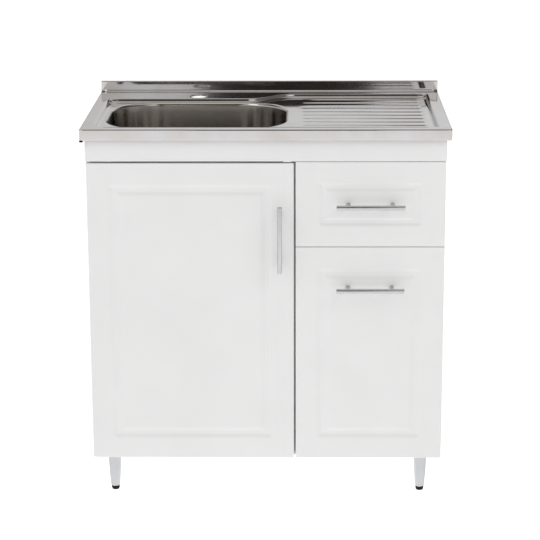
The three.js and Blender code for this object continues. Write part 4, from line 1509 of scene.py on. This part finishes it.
@dataclass
class CupHinge:
    """One cup hinge: dished cup, ears and pin on the door, cranked arm and winged plate on the side panel."""

    shop: Workshop
    level: str
    cup_radius: float = 17.4
    cup_depth: float = 13.0
    cup_past_pin: float = 13.0
    wall: float = 1.1
    flange: float = 1.5
    ear: Triple = (22.4, 7.0, 28.0)
    ear_rise: float = 1.2
    ear_straight: float = 4.0
    door_back: float = -209.0
    wing: float = 2.0
    riser: float = 7.0
    ear_screw: float = 22.0
    plate_screw: float = 17.0
    arm_screws: Pair = (34.0, 54.0)
    bite: float = 0.1

    def screw(self, shell: Shell, at: Point, axis: Axis, radius: float = 3.4) -> None:
        """Adds a screw's domed head with its cross recess, facing along an axis.

        The dome's height falls with the square of the radius. Inside the recess's reach, a point within
        0.4 mm of either line of the cross is sunk, and up to 0.75 mm away it eases back to the dome.

        Args:
            shell: where it goes.
            at: the middle of the head's seat.
            axis: the way that it faces.
            radius: the head's radius.
        """
        reach = np.array([0.0, 1.0, 0.97, 0.86, 0.72, 0.6, 0.5, 0.4, 0.3, 0.2, 0.1, 0.0])[:, None] * radius
        angle = circle(48)
        across, along = reach * np.cos(angle), reach * np.sin(angle)
        dome = 1.7 * (1 - 0.55 * (reach / radius) ** 2) + 0 * angle
        bar = np.minimum(np.abs(across), np.abs(along))
        sunk = eased((0.75 - bar) / 0.35) * (reach < 0.62 * radius)
        head = np.stack([across, along, dome - 0.9 * sunk], axis=-1)
        head[:2, :, 2] = 0.0
        shell.add(np.roll(head, axis.place + 1, axis=-1) + np.array(at, float), around=True)

    def cup(self, x: float, z: float) -> None:
        """The dish, turned about its middle, and its two ears: one pill-shaped plate under the dish's rim.

        The pill is a circle's points with those of each half moved apart along Z, on rings that step
        round its edge.

        Args:
            x, z: the pin's place.
        """
        back, node = self.door_back, f"hinge_cup_{self.level}"
        radius, inner, outer = self.cup_radius, self.cup_radius - self.wall, self.cup_radius + self.flange
        floor, seat, rim = back - self.cup_depth, back + 0.1, back + 0.9
        dish = softened(
            [
                (0, floor), (radius, floor), (radius, seat), (outer, seat), (outer, rim), (inner, rim),
                (inner, floor + self.wall), (0, floor + self.wall),
            ],
            [3.0, 0.2, 0.3, 0.3, 0.5, 2.4], 5,
        )  # fmt: skip
        shell = Shell().add_turned(dish, (x + self.cup_past_pin, 0, z), Axis.Y, 72)
        (ear_x, half, long), rise, straight = self.ear, self.ear_rise, self.ear_straight
        rows = np.array([(half, 0.05), (0, 0.05), (0, 0.7), (0.15, 1.05), (0.5, rise), (half, rise)])
        turn, reach = circle(64), half - rows[:, :1]
        along = reach * np.sin(turn) + straight * np.where(np.sin(turn) >= 0, 1.0, -1.0)
        screws = Shell()
        for end in (-1, 1):
            middle = z + end * (long - half - straight)
            pill = [x + ear_x + reach * np.cos(turn), back + rows[:, 1:] + 0 * turn, middle + along]
            shell.add(np.stack(pill, axis=-1)[:, ::-1], around=True)
            self.screw(screws, (x + ear_x, back + rise - self.bite, z + end * self.ear_screw), Axis.Y)
        self.shop.piece(f"{node}_dish", shell, PLATED, DOOR, [node])
        self.shop.piece(f"{node}_screws", screws, PLATED, DOOR)

    def plate(self, z: float) -> None:
        """The mounting plate: two wings, and the riser that the arm lies on, with all the cabinet's screws.

        Args:
            z: the pin's height.
        """
        node, riser, bite = f"hinge_plate_{self.level}", self.riser, self.bite
        low, high = cad_box(node)
        shell = Shell().add_block(low, (low[0] + self.wing, high[1], high[2]), 0.8)
        shell.add_block((low[0] + 0.3, low[1] + 1, z - riser), (high[0], high[1] - 1, z + riser), 1.2)
        self.shop.piece(f"{node}_winged", shell, PLATED, CABINET, [node])
        screws, middle = Shell(), (low[1] + high[1]) / 2
        for end in (-1, 1):
            self.screw(screws, (low[0] + self.wing - bite, middle, z + end * self.plate_screw), Axis.X, 4.0)
        arm_low, arm_high = cad_box(f"hinge_arm_{self.level}")
        for along in self.arm_screws:
            self.screw(screws, (arm_high[0] - bite, arm_low[1] + along, z), Axis.X, 3.2)
        self.shop.piece(f"{node}_screws", screws, PLATED, CABINET)

    def build(self) -> None:
        """Makes the cup and the plate about the pin's axis, and eases the plain pin and arm."""
        low, high = cad_box(f"hinge_pin_{self.level}")
        x, _, z = (low + high) / 2
        self.cup(x, z)
        self.plate(z)
        for part, body, edge in (("pin", DOOR, 0.2), ("arm", CABINET, 0.4)):
            self.shop.eased_copy(f"hinge_{part}_{self.level}", "pressed", PLATED, body, edge)


# ---------------------------------------------------------------- drawer boxes


@dataclass
class DrawerBox:
    """The box behind a drawer front, on two runners that roll in channels on the cabinet."""

    shop: Workshop
    name: str
    strip: float = 1.2
    fold: float = 1.6

    def build(self) -> None:
        """Makes the boards, the runners and the channels."""
        for side in ("side_left", "side_right", "back"):
            Board(f"{self.name}_{side}", self.name, 0.6).build(self.shop)
        Board(f"{self.name}_bottom", self.name, 0.5, ("-z",), HARDBOARD).build(self.shop)
        for side in ("left", "right"):
            self.strip_of_steel(f"{self.name}_channel_{side}", CABINET, side == "left")
            self.strip_of_steel(f"{self.name}_runner_{side}", self.name, side == "right")

    def strip_of_steel(self, node: str, body: str, web_left: bool) -> None:
        """A folded C of steel strip, its web on the left or the right.

        Args:
            node: the plain solid that it stands for.
            body: the body that carries it.
            web_left: the web is on the low X side.
        """
        low, high = cad_box(node)
        web, lip = (low[0], high[0]) if web_left else (high[0], low[0])
        corners = [(lip, low[2]), (web, low[2]), (web, high[2]), (lip, high[2])]
        grid = drawn_out(softened(corners, [self.fold] * 2, 4), stops((low[1], high[1], 8)), Axis.Y)
        shell = Shell().add(grid[:, ::-1] if web_left else grid)
        self.shop.piece(f"{node}_strip", shell, RUNNER, body, [node], self.strip)


# ---------------------------------------------------------------- studio


@dataclass
class Studio:
    """Pale floor, soft light and the camera at the photograph's angle.

    A change of the surround is the axis it is read along, the two values it runs between and the colour
    it leads to. A card is its name, its felt, its lowest and its highest corner. A lamp is its name, its
    place, its sides' length, its power in watts, and whether reflections show it.
    """

    shop: Workshop
    eye: Triple = (80.66, -4370.05, 1612.52)
    pitch: float = 0.2564
    yaw: float = -0.0174
    roll: float = -0.0038
    lens: float = 130.8
    sensor: float = 36.0
    left_wall: str = "#E2E2E2"
    changes: tuple[tuple[Axis, Pair, str], ...] = (
        (Axis.X, (-0.3, 0.3), "#FFFFFF"),
        (Axis.X, (0.36, 0.75), "#6E6C6A"),
        (Axis.Z, (0.2, 0.03), "#A6A6A6"),
        (Axis.Z, (0.42, 0.66), "#4A423B"),
        (Axis.Z, (0.66, 0.9), "#E0DEDB"),
    )
    glow: Pair = (1.22, 0.87)
    floor_rings: tuple[float, ...] = (30000.0, 8000.0, 3000.0, 1000.0, 0.0)
    cards: tuple[tuple[str, Finish, Point, Point], ...] = (
        ("dark_doorway", StudioFelt(), (-420, -4800, 500), (430, -4800, 1900)),
        ("brown_lintel", StudioFelt("brown_studio_felt", None, ("#45392F", "#41362C")),
         (-1100, -4790, 1900), (1000, -4790, 4200)),
    )  # fmt: skip
    lamps: tuple[tuple[str, Point, float, float, bool], ...] = (
        ("key", (-1600, -1700, 2350), 1100, 10, True),
        ("fill", (2000, -1700, 2200), 1000, 13, False),
    )
    lamp_aim: Triple = (0.0, 0.0, 500.0)

    def camera(self) -> None:
        """The camera, looking along its yaw and pitch, turned by its roll."""
        ahead, yaw = math.cos(self.pitch), self.yaw
        forward = np.array([math.sin(yaw) * ahead, math.cos(yaw) * ahead, -math.sin(self.pitch)])
        level = np.array([math.cos(yaw), -math.sin(yaw), 0.0])
        up = np.cross(level, forward)
        right = level * math.cos(self.roll) + up * math.sin(self.roll)
        up = up * math.cos(self.roll) - level * math.sin(self.roll)
        data = bpy.data.cameras.new("photo_camera")
        data.lens = self.lens
        data.sensor_width = self.sensor
        camera = bpy.data.objects.new("photo_camera", data)
        bpy.context.scene.collection.objects.link(camera)
        turn = Matrix([[right[i], up[i], -forward[i]] for i in range(3)])
        camera.matrix_world = Matrix.Translation(np.array(self.eye) * MM) @ turn.to_4x4()
        bpy.context.scene.camera = camera

    def surround(self) -> None:
        """Pale walls round the set, read by direction.

        They are a little grey on the left, dark at the far right, greyer low down, and brighter behind
        the camera than behind the unit. Higher up they turn into a dark brown band, and that into a pale
        ceiling. Each change is an S-curve between two values of one coordinate of the direction.
        """
        world = bpy.data.worlds.new("studio_walls")
        bpy.context.scene.world = world
        world.use_nodes = True
        tree = world.node_tree
        tree.nodes.clear()
        way = add_node(tree, "SeparateXYZ", {"Vector": add_node(tree, "TexCoord")["Generated"]})
        shade: Any = linear(self.left_wall)
        for axis, (low, high), colour in self.changes:
            ramp = {"Value": way[axis.place], "From Min": low, "From Max": high}
            share = add_node(tree, "MapRange", ramp, {"interpolation_type": "SMOOTHSTEP"})[0]
            mixed = {"Factor": share, 6: shade, 7: linear(colour)}
            shade = add_node(tree, "Mix", mixed, {"data_type": "RGBA"})[2]
        near, far = self.glow
        ramp = {"Value": way["Y"], "From Min": -0.5, "From Max": 0.5, "To Min": near, "To Max": far}
        strength = add_node(tree, "MapRange", ramp, {"interpolation_type": "SMOOTHSTEP"})[0]
        glow = add_node(tree, "Background", {"Color": shade, "Strength": strength})[0]
        add_node(tree, "OutputWorld", {"Surface": glow})

    def floor(self) -> None:
        """A wide pale floor, a flat disc turned on the ground."""
        rings = np.array([(radius, 0.0) for radius in self.floor_rings])
        shell = Shell().add_turned(rings, (0, 0, 0))
        self.shop.stand("studio_floor", shell.mesh("studio_floor"), FloorPaint())

    def card(self, name: str, felt: Finish, low: Point, high: Point) -> None:
        """A card that only reflections see, between two corners of an upright sheet.

        Args:
            name: its name.
            felt: what covers it.
            low, high: its corners.
        """
        x, z = np.meshgrid(np.linspace(low[0], high[0], 5), np.linspace(low[2], high[2], 5))
        shell = Shell().add(np.stack([x, np.full(x.shape, low[1]), z], axis=-1))
        card = self.shop.stand(name, shell.mesh(name), felt)
        card.visible_camera = card.visible_diffuse = card.visible_shadow = False

    def lamp(self, name: str, at: Point, size: float, watts: float, gleam: bool) -> None:
        """A soft square lamp aimed at the unit's middle.

        Args:
            name: its name.
            at: where it hangs.
            size: the length of its sides.
            watts: its power.
            gleam: it shows in reflections.
        """
        data = bpy.data.lights.new(name, "AREA")
        data.size = size * MM
        data.energy = watts
        lamp = bpy.data.objects.new(name, data)
        lamp.visible_glossy = gleam
        bpy.context.scene.collection.objects.link(lamp)
        away = Vector(np.array(at, float) - self.lamp_aim).to_track_quat("Z", "Y").to_matrix()
        lamp.matrix_world = Matrix.Translation(np.array(at) * MM) @ away.to_4x4()

    def build(self) -> None:
        """Sets the camera, the surround, the floor, the cards and the lamps."""
        self.camera()
        self.surround()
        self.floor()
        for card in self.cards:
            self.card(*card)
        for lamp in self.lamps:
            self.lamp(*lamp)
        scene = bpy.context.scene
        scene.view_settings.view_transform = "Standard"
        scene.view_settings.look = "None"


# ---------------------------------------------------------------- the whole unit


def main() -> None:
    """Builds the sub-assemblies in order, from the steel top to the studio."""
    logging.basicConfig(level=logging.INFO, format="%(message)s")
    shop = Workshop()
    SinkTop(shop).build()
    BowlWaste(shop).build()
    Carcass(shop).build()
    for place in ("front_left", "front_right", "rear_left", "rear_right"):
        Leg(shop, place).build()
    RoutedFront(
        shop, "door_left", "door", edge=1.3, middle=(6, 80), cups=(186.0, 669.0), grown=(0.0, -0.8)
    ).build()
    BarHandle(shop, "door_handle", "door", Axis.Z).build()
    for level in ("lower", "upper"):
        CupHinge(shop, level).build()
    RoutedFront(
        shop, "drawer_front", "drawer", margin=(50.0, 45.6), groove=20.0, middle=(6, 2), grown=(1.0, 2.2)
    ).build()
    BarHandle(shop, "drawer_handle", "drawer", Axis.X).build()
    DrawerBox(shop, "drawer").build()
    RoutedFront(shop, "pullout_front", "pullout", margin=(46.0, 46.5), grown=(0.0, 1.0)).build()
    BarHandle(shop, "pullout_handle", "pullout", Axis.X).build()
    DrawerBox(shop, "pullout").build()
    Studio(shop).build()


if __name__ == "__main__":
    main()
